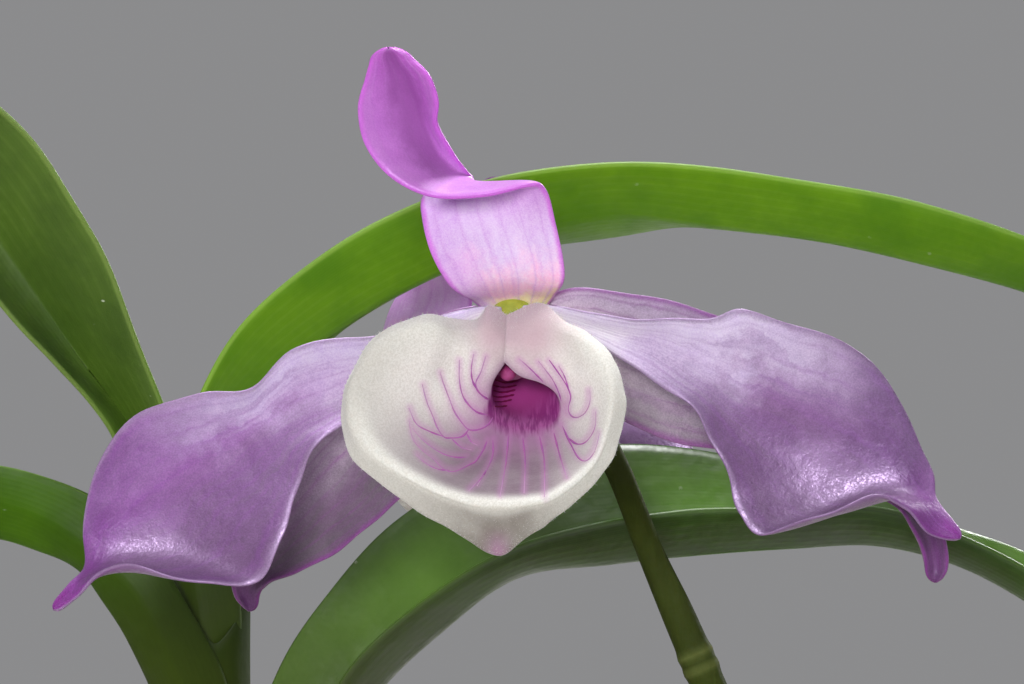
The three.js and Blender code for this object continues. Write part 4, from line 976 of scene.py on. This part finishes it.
# Its darkest colour, rgb(64, 18, 70), is painted shade down the groove of its twisted top.
DORSAL = petal_look(
    "dorsal_sepal_tissue",
    [(0.0, rgb(214, 218, 110)), (0.05, rgb(244, 226, 180)), (0.12, rgb(250, 200, 228)),
     (0.24, rgb(224, 202, 236)), (0.4, rgb(224, 196, 238)), (0.49, rgb(206, 124, 220)),
     (0.7, rgb(198, 116, 214)), (0.85, rgb(180, 92, 192)), (1.0, rgb(164, 64, 172))],
    sides=(rgb(222, 182, 238), rgb(206, 138, 220)),
    under=rgb(184, 104, 194), vein=rgb(204, 148, 220), margin=rgb(206, 92, 218),
    veins=6, edging=0.03, drawn=0.4, trough_shade=rgb(64, 18, 70), shine=0.25,
)
LIP = lip_look()
COLUMN_WAX = column_look()
CAP = wax_look("anther_cap_wax", rgb(144, 46, 106), rgb(182, 84, 142), gloss=0.6)
VEIN = vein_look()
BAR = wax_look("throat_stripe", rgb(106, 2, 58), rgb(128, 8, 82), gloss=0.7)
HAIR = wax_look("lip_hair", rgb(218, 216, 208), rgb(236, 235, 229), gloss=0.8)
BRIGHT_LEAF = leaf_look(
    "bright_leaf", upper=(rgb(68, 112, 4), rgb(90, 138, 10)), lower=(rgb(82, 132, 4), rgb(106, 154, 10)),
    pale=rgb(150, 186, 80), gloss=0.42, flecks=0.2,
)
# Darker leaf colours, as painted shade for a leaf lying in shadow.
SHADED_CLASPING_LEAF = leaf_look(
    "clasping_leaf_shaded", upper=(rgb(46, 78, 2), rgb(60, 96, 4)), lower=(rgb(48, 82, 2), rgb(64, 102, 4)),
    pale=rgb(96, 130, 36), gloss=0.6, flecks=0.5, foot_reach=0.5, shine=0.12,
)
OLIVE_LEAF = leaf_look(
    "olive_leaf", upper=(rgb(66, 92, 26), rgb(82, 110, 34)), lower=(rgb(60, 86, 24), rgb(76, 104, 30)),
    pale=rgb(128, 152, 74), gloss=0.42, flecks=0.8,
)
# Its underside colours are darkened as painted shade.
GLOSSY_LEAF = leaf_look(
    "glossy_leaf", upper=(rgb(86, 130, 36), rgb(108, 154, 54)), lower=(rgb(16, 36, 0), rgb(30, 54, 0)),
    pale=rgb(122, 158, 78), gloss=0.34, flecks=0.9, foot_reach=0.45, pale_rim_and_highlight=0.15, shine=0.5,
)
# Dark olive, partly the foot's own colour and partly painted shade.
FOOT_LEAF = leaf_look(
    "leaf_foot", upper=(rgb(40, 50, 10), rgb(56, 66, 14)), lower=(rgb(40, 50, 10), rgb(54, 64, 14)),
    pale=rgb(80, 84, 34), gloss=0.65, flecks=0.3, pale_rim_and_highlight=0.1, shine=0.12,
)
CANE = stem_look(
    "cane_skin", dark=rgb(58, 70, 18), light=rgb(94, 106, 34), scar=rgb(130, 132, 68), gloss=0.5,
    streaked=0.3,
)
OLD_CANE = stem_look(
    "old_cane_skin", dark=rgb(120, 104, 56), light=rgb(160, 142, 84), scar=rgb(190, 176, 120), gloss=0.6,
)
STALK = stem_look(
    "stalk_skin", dark=rgb(42, 49, 15), light=rgb(54, 64, 20), scar=rgb(88, 96, 48), gloss=0.75,
    streaked=0.06, shine=0.1,
)
PAPER = paper_look()
BARK = bark_look()
CLAY = clay_look()
ROOT = root_look()


# The flowers

def lip_grid(rows, columns):
    """The points of the lip: a tube behind, open along its seam, that widens into a rolled brim."""
    directions = len(LIP_RIM) - 1
    turns = np.arange(directions + 1) / directions

    def hoop(centre, radii, back, slit):
        angle = slit + 2 * (math.pi - slit) * turns
        across = centre[0] - radii[0] * np.sin(angle)
        up = centre[1] + radii[1] * np.cos(angle)
        return place(np.stack([across, np.full_like(across, back), up], axis=-1))

    mouth, brim, rim = place(LIP_MOUTH), place(LIP_BRIM), place(LIP_RIM)
    forward = LIP_BULGE * (0.35 + np.cos(2 * np.pi * turns))
    funnel = mouth * 0.55 + brim * 0.45
    funnel[:, 1] -= forward
    inside = mouth * 0.18 + brim * 0.82
    inside[:, 1] -= 0.3 * forward
    outside = brim * 0.8 + rim * 0.2
    base, tube = hoop(**LIP_BASE), hoop(**LIP_TUBE)

    def surface(hoops, levels):
        rings = np.stack([smooth(points, columns) for points in hoops])
        shares = np.interp(np.linspace(0, 1, rows + 1), levels, np.linspace(0, 1, len(hoops)))
        return at_shares(rings, shares)

    rolled = surface([base, tube, mouth, funnel, brim, rim], [LIP_LEVELS[k] for k in (0, 1, 2, 3, 5, 7)])
    creased = surface([base, tube, mouth, funnel, inside, brim, outside, rim], LIP_LEVELS)
    turn = np.linspace(0, 1, columns + 1)[None, :, None]
    crease = ramp_up(turn, 0.3, 0.4) * (1 - ramp_up(turn, 0.68, 0.8))
    return rolled * (1 - crease) + creased * crease


def near_lines(across, up, lines, width):
    """1 on a line of the front view, and less beside it, down to 0 at width."""
    shown = np.zeros(across.shape)
    for line in lines:
        path = smooth(np.array(line), 3 * (len(line) - 1))
        for a, b in zip(path, path[1:]):
            step = b - a
            t = np.clip(((across - a[0]) * step[0] + (up - a[1]) * step[1]) / (step @ step), 0, 1)
            gap = np.hypot(across - a[0] - t * step[0], up - a[1] - t * step[1])
            shown = np.maximum(shown, 1 - ramp_up(gap, 0, width))
    return shown


def drawn_parts(surface, lines, wide, narrow, nearest=-99.0):
    """Raised lines on a surface where the front view shows them, tapering along their way, no nearer
    than nearest, and how far along its line each point lies."""
    eye = Vector((0, -VIEW_DISTANCE, 0))
    sides, lift, flatness = 6, 0.015, 0.45
    angle = around(sides)[None, :, None]
    parts = []
    fades = []
    for line in lines:
        path = smooth(line, 7 * (len(line) - 1))
        hits = [surface.ray_cast(eye, (Vector((x, 0, z)) - eye).normalized()) for x, z in path]
        hits = [hit for hit in hits if hit[0] is not None and hit[0].y > nearest]
        if len(hits) < 4:
            continue
        points = np.array([hit[0] for hit in hits])
        toward = np.array([-math.copysign(1, hit[1].y) * np.array(hit[1]) for hit in hits])
        points[1:-1] = (points[:-2] + 2 * points[1:-1] + points[2:]) / 4
        side = unit(np.cross(unit(np.gradient(points, axis=0)), toward))
        share = np.linspace(0, 1, len(points))
        radius = (wide + (narrow - wide) * share) * np.clip(7 * share + 0.3, 0, 1)
        radius *= 1 + 0.25 * np.sin(23 * share + len(points))
        wheel = side[:, None] * np.cos(angle) + flatness * toward[:, None] * np.sin(angle)
        rings = (points + toward * lift)[:, None] + wheel * radius[:, None, None]
        parts.append(tube_parts(rings))
        fades.append(tube_data(share[:, None] * np.ones(sides), last=1, poles=(0, 1)))
    return *joined(parts), {"fade": 0.7 * np.concatenate(fades) ** 2.2}


def lip_hairs(grid, count):
    """Vertices and faces of short hairs on the band where the lip turns over, near its rim, on both sides."""
    random = np.random.default_rng(7)
    rows, columns = grid.shape[:2]
    normals = normals_of(grid)
    i = (rows - 1) * (1 - 0.22 * random.random(count) ** 2.2)
    j = (columns - 1) * random.random(count)
    k, m = i.astype(int), j.astype(int)
    base = grid[k, m]
    side = np.where(random.random(count) < 0.62, 1.0, -1.0)[:, None]
    aim = unit(normals[k, m] * side + 0.5 * random.normal(size=(count, 3)))
    length = 0.1 + 0.2 * random.random(count)
    aside = unit(np.cross(aim, [0.3, 0.5, 0.8]))
    other = np.cross(aim, aside)
    root = base + normals[k, m] * side * LIP_THICKNESS * 0.3
    corners = [root + HAIR_RADIUS * (math.cos(a) * aside + math.sin(a) * other) for a in THIRDS_OF_A_TURN]
    tip = root + aim * (length + LIP_THICKNESS * 0.2)[:, None]
    vertices = np.stack([*corners, tip], axis=1).reshape(-1, 3)
    first = 4 * np.arange(count)[:, None]
    faces = np.concatenate([first + corner for corner in ([0, 2, 1], [0, 1, 3], [1, 2, 3], [2, 0, 3])])
    return vertices, faces.tolist()


def lip_pieces(prefix, fit, rows, columns, hairs):
    """The lip, frilled and folded, with its veins, the bars in its throat and its down."""
    grid = lip_grid(rows, columns)
    level = np.linspace(0, 1, rows + 1)[:, None]
    turn = np.linspace(0, 1, columns + 1)[None, :]
    frill = ramp_up(level, 0.84, 1.0) * ramp_up(turn, 0.04, 0.12) * (1 - ramp_up(turn, 0.88, 0.96))
    wave = 0.07 * np.sin(34 * np.pi * turn) + 0.04 * np.sin(57 * np.pi * turn + 1.0)
    grid = grid + normals_of(grid) * (frill * wave)[..., None]
    spread = 1 + grid[..., 1] / VIEW_DISTANCE
    across, up = grid[..., 0] / spread, grid[..., 2] / spread
    folds = near_lines(across, up, LIP_FOLDS, 1.7)
    folds = folds * ramp_up(level, 0.4, 0.6) * (1 - ramp_up(level, 0.84, 1.0))
    grid = grid + normals_of(grid) * (LIP_FOLD_DEPTH * folds)[..., None]

    # Colour by level, which runs from the lip's base to its rim, and by turn, which is 0.5 at its point.
    low = hump(turn, 0.5, 0.2, 4)
    top = 1 - ramp_up(np.minimum(turn, 1 - turn), 0.06, 0.16)
    point = hump(turn, 0.5, 0.018) * ramp_up(level, 0.9, 1.0)
    # Painted shade: under on the band below the point, flanks on the side bands, and a share of folds and
    # top, all fed into shade.
    under = hump(turn, 0.5, 0.13) * ramp_up(level, 0.8, 0.9)
    flanks = 0.36 * hump(turn, 0.25, 0.07) + 0.22 * hump(turn, 0.75, 0.07)
    flanks = flanks * ramp_up(level, 0.62, 0.84) * (1 - 0.6 * ramp_up(level, 0.92, 1.0))
    glow = 0.6 * (1 - ramp_up(level, 0.3, 0.5 + 0.16 * low))
    data = {
        "vein": near_lines(across, up, LIP_VEINS, 0.55) * ramp_up(level, 0.26, 0.34),
        "throat": 1 - ramp_up(level, 0.26, 0.34 + 0.14 * low),
        "deep": (1 - ramp_up(level, 0.12, 0.3)) * np.ones_like(turn),
        "blush": glow + 0.06 * (1 - ramp_up(level, 0.6, 0.78)) + 0.5 * point,
        # Painted shade on the funnel's floor, strongest towards the point.
        "hollow": (1 - ramp_up(level, 0.74, 0.8)) * (0.05 + 0.95 * hump(turn, 0.5, 0.17, 4)),
        "pink": top * ramp_up(level, 0.3, 0.7),
        "shade": 0.95 * under + flanks + 0.14 * folds + 0.26 * top * ramp_up(level, 0.3, 0.6),
    }
    vertices, faces, data, uv = sheet_parts(grid, LIP_THICKNESS, edge=0.5, front=-1, data=data)
    build(f"{prefix}_lip_fine", fit(vertices), faces, LIP, "lip", f"{prefix}_lip", data, uv)
    surface = BVHTree.FromPolygons(vertices.tolist(), faces)
    veins, faces, data = drawn_parts(surface, LIP_VEINS, 0.085, 0.035)
    build(f"{prefix}_lip_veins", fit(veins), faces, VEIN, "lip", None, data)
    bars, faces, data = drawn_parts(surface, THROAT_BARS, 0.12, 0.07, nearest=-0.9)
    build(f"{prefix}_lip_throat_bars", fit(bars), faces, BAR, "lip", None, data)
    down, faces = lip_hairs(grid, hairs)
    build(f"{prefix}_lip_down", fit(down), faces, HAIR, "lip")


def column_pieces(prefix, fit):
    """The column with its foot and the seat behind it, and its anther cap with a cleft in front."""
    steps = 30
    line = smooth(place([point[:3] for point in COLUMN]), steps)
    radii = smooth(np.array([[point[3]] for point in COLUMN]), steps)
    shaft = tube_parts(tube_rings(line, radii, 28, (1, 0, 0)))
    seat = ball_parts(place(RECEPTACLE["at"]), RECEPTACLE["radii"])
    foot = ball_parts(place(COLUMN_FOOT["at"]), COLUMN_FOOT["radii"])
    vertices, faces = joined([shaft, seat, foot])
    wrapped = np.maximum(1 - ramp_up(vertices[:, 1], 2.0, 4.6), 1 - ramp_up(vertices[:, 2], -1.6, -0.4))
    data = {"ahead": wrapped}
    build(f"{prefix}_column_fine", fit(vertices), faces, COLUMN_WAX, "column", f"{prefix}_column", data)

    def cleft(directions):
        return 1 - 0.14 * hump(directions[..., 0:1], 0, 0.16) * (directions[..., 2:3] > -0.4)

    vertices, faces = ball_parts(place(ANTHER_CAP["at"]), ANTHER_CAP["radii"], dent=cleft)
    build(f"{prefix}_anther_cap_fine", fit(vertices), faces, CAP, "cap", f"{prefix}_anther_cap")


# Blades of a flower: stations, look, the side that faces up, height, number and phase of its ripples,
# width of its tip, blunt share of its length, and thickness.
BLADES = {
    "dorsal_sepal": (DORSAL_SEPAL, DORSAL, 1, (0.12, 2.0, 0.4), 2.6, 0.06, 0.75),
    "left_petal": (LEFT_PETAL, LEFT_PETAL_LOOK, -1, (0.24, 4.0, 0.8), 1.3, 0.03, 0.45),
    "right_petal": (RIGHT_PETAL, RIGHT_PETAL_SHADED_LOOK, 1, (0.24, 4.0, 2.2), 1.3, 0.03, 0.45),
    "left_sepal": (LEFT_SEPAL, SEPAL, -1, (0.15, 3.0, 1.0), 1.4, 0.06, 0.5),
    "right_sepal": (RIGHT_SEPAL, SEPAL, 1, (0.15, 3.0, 2.6), 1.6, 0.05, 0.5),
}


def flower(prefix, fit, petal_rows, petal_columns, lip_rows, lip_columns, hairs):
    """One flower. fit moves its points from its own frame to the pot's."""
    shares = blade_shares(petal_rows)
    for name, (stations, material, front, waves, tip, blunt, thickness) in BLADES.items():
        if (prefix, name) == ("second", "dorsal_sepal"):
            stations = stations[:-1] + [[SECOND_DORSAL_TIP]]
        grid = ripple(blade_grid(stations, petal_rows, petal_columns, 2, tip, blunt), *waves)
        vertices, faces, data, uv = sheet_parts(grid, thickness, front=front, shares=shares)
        build(f"{prefix}_{name}_fine", fit(vertices), faces, material, "petal", f"{prefix}_{name}", data, uv)
    lip_pieces(prefix, fit, lip_rows, lip_columns, hairs)
    column_pieces(prefix, fit)


def first_fit(points):
    return points + VIEW_CENTRE


def second_fit(points):
    how = {key: SECOND_FLOWER[key] for key in ("turn", "lean", "roll")}
    return turned(points * SECOND_FLOWER["scale"], **how) + place(SECOND_FLOWER["at"]) + VIEW_CENTRE


flower("first", first_fit, petal_rows=120, petal_columns=44, lip_rows=110, lip_columns=216, hairs=9000)
flower("second", second_fit, petal_rows=80, petal_columns=28, lip_rows=70, lip_columns=140, hairs=3500)


def stalk(name, line, rings):
    """A flower's stalk, with swollen scars where bracts sat, at shares of its length."""
    steps, sides = 120, 24
    centres = smooth(place([point[:3] for point in line]), steps)
    radii = smooth(np.array([[point[3]] for point in line]), steps)
    share = np.linspace(0, 1, steps + 1)[:, None]
    radii = radii * (1 + 0.025 * np.cos(5 * around(sides)[None, :]))
    mark = np.zeros((steps + 1, 1))
    for where in rings:
        radii = radii * (1 + 0.1 * hump(share, where, 0.012))
        mark = np.maximum(mark, hump(share, where, 0.008))
    vertices, faces = tube_parts(tube_rings(centres, radii, sides, (1, 0, 0)))
    data = {"ring": tube_data(mark * np.ones(sides))}
    build(f"{name}_fine", vertices + VIEW_CENTRE, faces, STALK, "stalk", name, data)


stalk("first_stalk", FIRST_STALK, (0.8, 0.83))
stalk("second_stalk", SECOND_STALK, (0.86,))


# The leaves

def leaf(name, grid, material, front):
    """A leaf from its grid of points, in place of the node of that name."""
    shares = blade_shares(len(grid) - 1)
    vertices, faces, data, uv = sheet_parts(grid, LEAF_THICKNESS, edge=0.45, front=front, shares=shares)
    build(f"{name}_fine", vertices, faces, material, "leaf", name, data, uv)


def seen_leaf(name, stations, material, front):
    """A leaf that the front view shows, rippled along its margins."""
    rows, columns = 150, 32
    grid = ripple(blade_grid(stations, rows, columns, LEAF_KEEL), 0.3, 2.5, 0.6, power=3)
    leaf(name, grid + VIEW_CENTRE, material, front)


seen_leaf("arching_leaf", ARCHING_LEAF, BRIGHT_LEAF, -1)
seen_leaf("upper_left_leaf", UPPER_LEFT_LEAF, OLIVE_LEAF, 1)
seen_leaf("lower_left_leaf", LOWER_LEFT_LEAF, SHADED_CLASPING_LEAF, 1)
seen_leaf("lower_leaf", LOWER_LEAF, GLOSSY_LEAF, 1)


def cane_line(cane, shares):
    """Points on a cane's bowed centre line, from its foot in the bark to its tip."""
    start = np.array([*cane["foot"], BARK_LEVEL - CANE_DEPTH], float)
    end = np.array(cane["tip"], float)
    pull = (start + end) / 2 + 2 * np.array([*cane["bow"], 0.0])
    t = np.asarray(shares, float)[:, None]
    return (1 - t) ** 2 * start + 2 * t * (1 - t) * pull + t**2 * end


def cane_radius(cane, shares):
    return cane["radius"] * (0.5 + 0.5 * np.sin(np.pi * (0.08 + 0.84 * np.asarray(shares, float))) ** 0.7)


def strap_leaf_grid(cane, share, heading, length, width, rise, droop):
    """The points of a strap leaf that leaves its cane, rises and droops over."""
    turn = math.radians(heading)
    outward = np.array([math.cos(turn), math.sin(turn), 0.0])
    sideways = np.array([-math.sin(turn), math.cos(turn), 0.0])
    root = CANES[cane]
    reach = 1.08 * cane_radius(root, share) + 0.4 + SEAT_GAP
    point = cane_line(root, [share])[0] + outward * reach
    rows, columns, coarse = 110, 24, 11
    v = np.linspace(-1, 1, columns + 1)[:, None]
    grid = []
    for i in range(coarse + 1):
        s = i / coarse
        upright = (90 - rise) * max(0, 1 - 5 * s)
        pitch = math.radians(rise + upright - (rise + droop) * s**1.3)
        ahead = outward * math.cos(pitch) + np.array([0, 0, math.sin(pitch)])
        if i:
            point = point + ahead * length / coarse
        lift = -np.cross(sideways, ahead)
        half = width / 2 * min(1, 0.36 + 2.6 * s) * max(0.05, 1 - s**3.2) ** 0.6
        grid.append(point + sideways * half * v + lift * 0.32 * half * np.abs(v) ** LEAF_KEEL)
    return at_shares(np.array(grid), blade_shares(rows))


for number, (name, how) in enumerate(OTHER_LEAVES.items()):
    grid = ripple(strap_leaf_grid(*how), 0.35, 2.0, 0.9 * number, power=3)
    leaf(name, grid, BRIGHT_LEAF if number % 2 else OLIVE_LEAF, 1)


# The canes and their papery sheaths

def cane_piece(name, cane, material):
    """A cane, swollen and ringed at its joints and grooved between them."""
    steps, sides = 24 * cane["joints"], 40
    share = np.linspace(0, 1, steps + 1)
    joint = share * cane["joints"]
    off = np.abs(joint - np.round(joint))
    swell = 1 + 0.09 * hump(off, 0, 0.035) - 0.05 * hump(off, 0.1, 0.05)
    groove = 0.035 * np.cos(9 * around(sides))[None, :] * ramp_up(off, 0.04, 0.2)[:, None]
    radii = (cane_radius(cane, share) * swell)[:, None] * (1 + groove)
    vertices, faces = tube_parts(tube_rings(cane_line(cane, share), radii, sides, (0, 1, 0)))
    data = {"ring": tube_data(hump(off, 0, 0.02)[:, None] * np.ones(sides))}
    build(f"{name}_fine", vertices, faces, material, "cane", name, data)


def sheath_piece(name, cane, joints, seed):
    """Papery sheaths that wrap a cane from joint to joint, each split down one side."""
    random = np.random.default_rng(seed)
    rows, columns = 14, 40
    parts = []
    for joint in range(joints):
        low = (joint + 0.04) / cane["joints"]
        high = (joint + 0.78 + 0.2 * random.random()) / cane["joints"]
        share = np.linspace(low, high, rows)
        climb = ((share - low) / (high - low))[:, None]
        split = random.random() * 2 * np.pi
        gape = (0.2 + 0.7 * random.random()) * climb
        angle = split + gape + (2 * np.pi - 2 * gape) * np.linspace(0, 1, columns)[None, :]
        flare = 0.3 + 0.5 * climb + 0.3 * random.random()
        radius = 1.06 * cane_radius(cane, share)[:, None] + flare
        radius = radius + 0.16 * np.sin(3 * angle + random.random() * 6) + 0.1 * np.sin(7 * angle)
        centre = cane_line(cane, share)
        tear = 1.2 * np.sin(5 * angle[-1] + random.random() * 6) * climb**3
        grid = np.stack([
            centre[:, 0:1] + radius * np.cos(angle),
            centre[:, 1:2] + radius * np.sin(angle),
            centre[:, 2:3] + tear,
        ], axis=-1)
        parts.append(sheet_parts(grid, SHEATH_THICKNESS, edge=0.6)[:2])
    build(name, *joined(parts), PAPER, "cane")


def leaf_foot_piece(name, cane, low, high, radii, material):
    """A leaf's foot that clasps its cane between two heights, its rim notched in front."""
    rows, columns = 40, 72
    t = np.linspace(0, 1, rows)
    heights = low + (high - low) * t
    line = cane_line(cane, np.linspace(0, 1, 200))
    centre = np.stack([np.interp(heights, line[:, 2], line[:, k]) for k in range(2)], axis=-1)
    angle = np.linspace(0.35, 2 * np.pi - 0.35, columns)[None, :] + np.pi / 2
    snug = (0.94 + 0.06 * ramp_up(t, 0, 0.2) - 0.07 * ramp_up(t, 0.6, 0.95))[:, None]
    from_notch = np.abs(angle - FOOT_NOTCH)
    slant = (t**4)[:, None] * FOOT_RISE * np.minimum(np.sqrt(from_notch**2 + 0.01), 1.4)
    grid = np.stack([
        centre[:, 0:1] + radii[0] * snug * np.cos(angle),
        centre[:, 1:2] + radii[1] * snug * np.sin(angle),
        heights[:, None] + slant,
    ], axis=-1)
    vertices, faces, data, uv = sheet_parts(grid, 0.5)
    build(name, vertices, faces, material, "leaf", None, data, uv)


for name, cane in CANES.items():
    cane_piece(name, cane, OLD_CANE if name == "old_cane" else CANE)
leaf_foot_piece("leafy_cane_upper_foot", CANES["leafy_cane"], 200.0, 234.4, (3.8, 5.5), FOOT_LEAF)
for seed, (name, joints) in enumerate(SHEATHED_JOINTS.items(), start=1):
    sheath_piece(f"{name}_sheaths", CANES[name], joints, seed)


# The pot, the bark and the roots

def lathe_parts(profile, sides, wobble=0.0):
    """Vertices and faces of a profile of (radius, height) turned round the Z axis, closed on itself."""
    angle = around(sides)
    profile = np.asarray(profile, float)
    uneven = 1 + wobble * (np.sin(2 * angle) + 0.6 * np.sin(3 * angle + 1))[None, :]
    radius = profile[:, 0:1] * uneven
    height = profile[:, 1:2] * np.ones((1, sides))
    return wound(np.stack([radius * np.cos(angle), radius * np.sin(angle), height], axis=-1))


def rounded(corners, radius):
    """A path of (x, z) corners with each inner corner rounded."""
    corners = np.asarray(corners, float)
    path = [corners[0]]
    for before, here, after in zip(corners, corners[1:], corners[2:]):
        reach = min(radius, 0.45 * np.linalg.norm(here - before), 0.45 * np.linalg.norm(after - here))
        a = here + unit(before - here) * reach
        b = here + unit(after - here) * reach
        path += [(1 - t) ** 2 * a + 2 * t * (1 - t) * here + t**2 * b for t in np.linspace(0, 1, 5)]
    return np.array([*path, corners[-1]])


def pot_piece():
    """The pot with its rim band, and with its drains drilled through its floor."""
    slope = (POT_MOUTH_RADIUS - POT_FOOT_RADIUS) / POT_HEIGHT
    rim_foot = POT_HEIGHT - RIM_HEIGHT
    edge = POT_MOUTH_RADIUS + RIM_OVERHANG
    corners = [
        (1.0, 0), (POT_FOOT_RADIUS, 0), (POT_FOOT_RADIUS + slope * rim_foot, rim_foot),
        (edge - RIM_TAPER, rim_foot + 0.6), (edge, POT_HEIGHT), (POT_MOUTH_RADIUS - POT_WALL, POT_HEIGHT),
        (POT_FOOT_RADIUS - POT_WALL + 1, POT_WALL), (1.0, POT_WALL),
    ]
    vertices, faces = lathe_parts(rounded(corners, POT_ROUNDING), 144, POT_WOBBLE)
    pot = build("pot_fine", vertices, faces, CLAY, "clay", "pot")
    for k in range(DRAIN_COUNT):
        angle = 2 * math.pi * k / DRAIN_COUNT + math.pi / 2
        centre = np.array([DRAIN_CIRCLE * math.cos(angle), DRAIN_CIRCLE * math.sin(angle), 0])
        bore, walls = lathe_parts([(DRAIN_RADIUS, -POT_WALL), (DRAIN_RADIUS, 2 * POT_WALL)], 32)
        drill = add("drain", mesh_of("drain", bore + centre, walls))
        cut = pot.modifiers.new("drain", "BOOLEAN")
        cut.operation = "DIFFERENCE"
        cut.solver = "EXACT"
        cut.object = drill
        bpy.context.view_layer.update()
        drilled = bpy.data.meshes.new_from_object(pot.evaluated_get(bpy.context.evaluated_depsgraph_get()))
        pot.modifiers.clear()
        pot.data = drilled
        bpy.data.objects.remove(drill)


def bark_piece():
    """A bed of bark, with loose chips on it that leave room for the canes."""
    random = np.random.default_rng(12)
    reach = POT_MOUTH_RADIUS - POT_WALL - 3
    inner = POT_FOOT_RADIUS - POT_WALL
    low = POT_WALL + 0.6
    bed = [(0.5, low), (inner, low), (reach + 0.6, BARK_LEVEL - 2), (0.5, BARK_LEVEL)]
    vertices, faces = lathe_parts(rounded(bed, 2.0), 96)
    parts = [(vertices, faces)]
    tones = [np.full(len(vertices), 0.1)]
    feet = np.array([cane["foot"] for cane in CANES.values()], float)
    levels = [(0.55, -0.5), (0.9, -0.34), (1.0, 0.1), (0.93, 0.38), (0.7, 0.5)]
    for k in range(CHIP_COUNT):
        sides = random.integers(5, 8)
        length = 5 + 9 * random.random()
        width = length * (0.5 + 0.35 * random.random())
        depth = 1.6 + 2.4 * random.random()
        angle = np.sort(2 * np.pi * (np.arange(sides) + 0.6 * random.random(sides)) / sides)
        outline = np.stack([np.cos(angle) * length / 2, np.sin(angle) * width / 2, np.zeros(sides)], axis=-1)
        outline *= 0.8 + 0.35 * random.random((sides, 1))
        rings = np.stack([outline * shrink + [0, 0, depth * lift] for shrink, lift in levels])
        rings = rings + 0.35 * random.normal(size=rings.shape) * [1, 1, 0.6]
        lean, roll = 34 * (random.random(2) - 0.5)
        rings = turned(rings.reshape(-1, 3), 360 * random.random(), lean, roll)
        r = (reach - length * 0.45) * math.sqrt(random.random())
        bearing = 2 * np.pi * random.random()
        spot = np.array([r * math.cos(bearing), r * math.sin(bearing)])
        near = feet - spot
        gap = np.linalg.norm(near, axis=1)
        room = CANE_ROOM + width * 0.4
        if gap.min() < room:
            spot -= near[gap.argmin()] / gap.min() * (room - gap.min())
        heap = BARK_HEAP * (k / CHIP_COUNT) * (1 - 0.3 * r / reach)
        rings = rings + [*spot, BARK_LEVEL - 0.5 + heap]
        parts.append(wound(rings.reshape(len(levels), sides, 3)))
        tones.append(np.full(len(rings), random.random()))
    vertices, faces = joined(parts)
    build("bark_fine", vertices, faces, BARK, "bark", "bark", {"tone": np.concatenate(tones)}, flat=True)


def root_piece(name, root):
    """A root that lies over the bark and dips into it at both ends, green towards its tip."""
    steps, sides = 70, 20
    turn = math.radians(root["heading"])
    ahead = np.array([math.cos(turn), math.sin(turn), 0])
    aside = np.array([-math.sin(turn), math.cos(turn), 0])
    s = np.linspace(0, 1, 9)[:, None]
    height = BARK_LEVEL + 2.6 - 5.5 * (1 - s) ** 3 - 8.5 * s**4
    start = np.array([*root["from"], 0.0])
    wander = root["wander"] * np.sin(2.4 * np.pi * s)
    points = start + height * [0, 0, 1] + ahead * root["reach"] * s + aside * wander
    share = np.linspace(0, 1, steps + 1)[:, None]
    radii = ROOT_RADIUS * (1 - 0.3 * share**3) * (1 + 0.03 * np.sin(40 * share))
    vertices, faces = tube_parts(tube_rings(smooth(points, steps), radii * np.ones(sides), sides, (0, 0, 1)))
    green = np.ones(sides) * ramp_up(share, 0.86, 0.97)
    data = {"ring": tube_data(green, last=1, poles=(1, 1))}
    build(f"{name}_fine", vertices, faces, ROOT, "root", name, data)


pot_piece()
bark_piece()
for name, root in ROOTS.items():
    root_piece(name, root)


# Camera, floor and light

camera = bpy.data.cameras.new("front_view")
camera.sensor_width = SENSOR_WIDTH
camera.lens = SENSOR_WIDTH * VIEW_DISTANCE / VIEW_WIDTH
camera.clip_end = 20
viewer = add("front_view", camera)
viewer.location = (VIEW_CENTRE - [0, VIEW_DISTANCE, 0]) * MM
viewer.rotation_euler = (math.pi / 2, 0, 0)
bpy.context.scene.camera = viewer

floor_radius = 2.6
edge = [(floor_radius * math.cos(a), floor_radius * math.sin(a), 0) for a in around(95)]
floor_mesh = bpy.data.meshes.new("floor")
floor_mesh.from_pydata(edge, [], [list(range(len(edge)))])
floor_mesh.materials.append(floor_look())
add("floor", floor_mesh)

world = bpy.data.worlds.new("studio")
world.use_nodes = True
glow = world.node_tree.nodes["Background"].inputs
glow["Color"].default_value = rgb(206, 206, 208)
glow["Strength"].default_value = 0.42
bpy.context.scene.world = world

# Lights: place and size in metres, watts, and whether matt and glossy surfaces see them.
LIGHTS = {
    "front_light": ((-0.2, -1.28, 0.5), 0.4, 12.5, True, False),
    "top_light": ((0.1, 0.28, 1.0), 0.25, 7.0, True, True),
    "petal_shine": ((-0.02, -0.46, 1.14), 0.24, 22.0, False, True),
    "leaf_shine": ((-0.1, -1.02, 0.84), 0.12, 4.0, False, True),
    "back_light": ((0.5, 0.85, 0.7), 0.3, 8.0, True, True),
}
for name, (spot, size, power, matt, glossy) in LIGHTS.items():
    light = bpy.data.lights.new(name, "AREA")
    light.size = size
    light.energy = power
    lamp = add(name, light)
    lamp.visible_diffuse = matt
    lamp.visible_glossy = glossy
    lamp.location = spot
    away = unit(np.array(spot) - VIEW_CENTRE * MM)
    lamp.rotation_euler = (0, math.acos(away[2]), math.atan2(away[1], away[0]))

bpy.context.scene.view_settings.view_transform = "Standard"
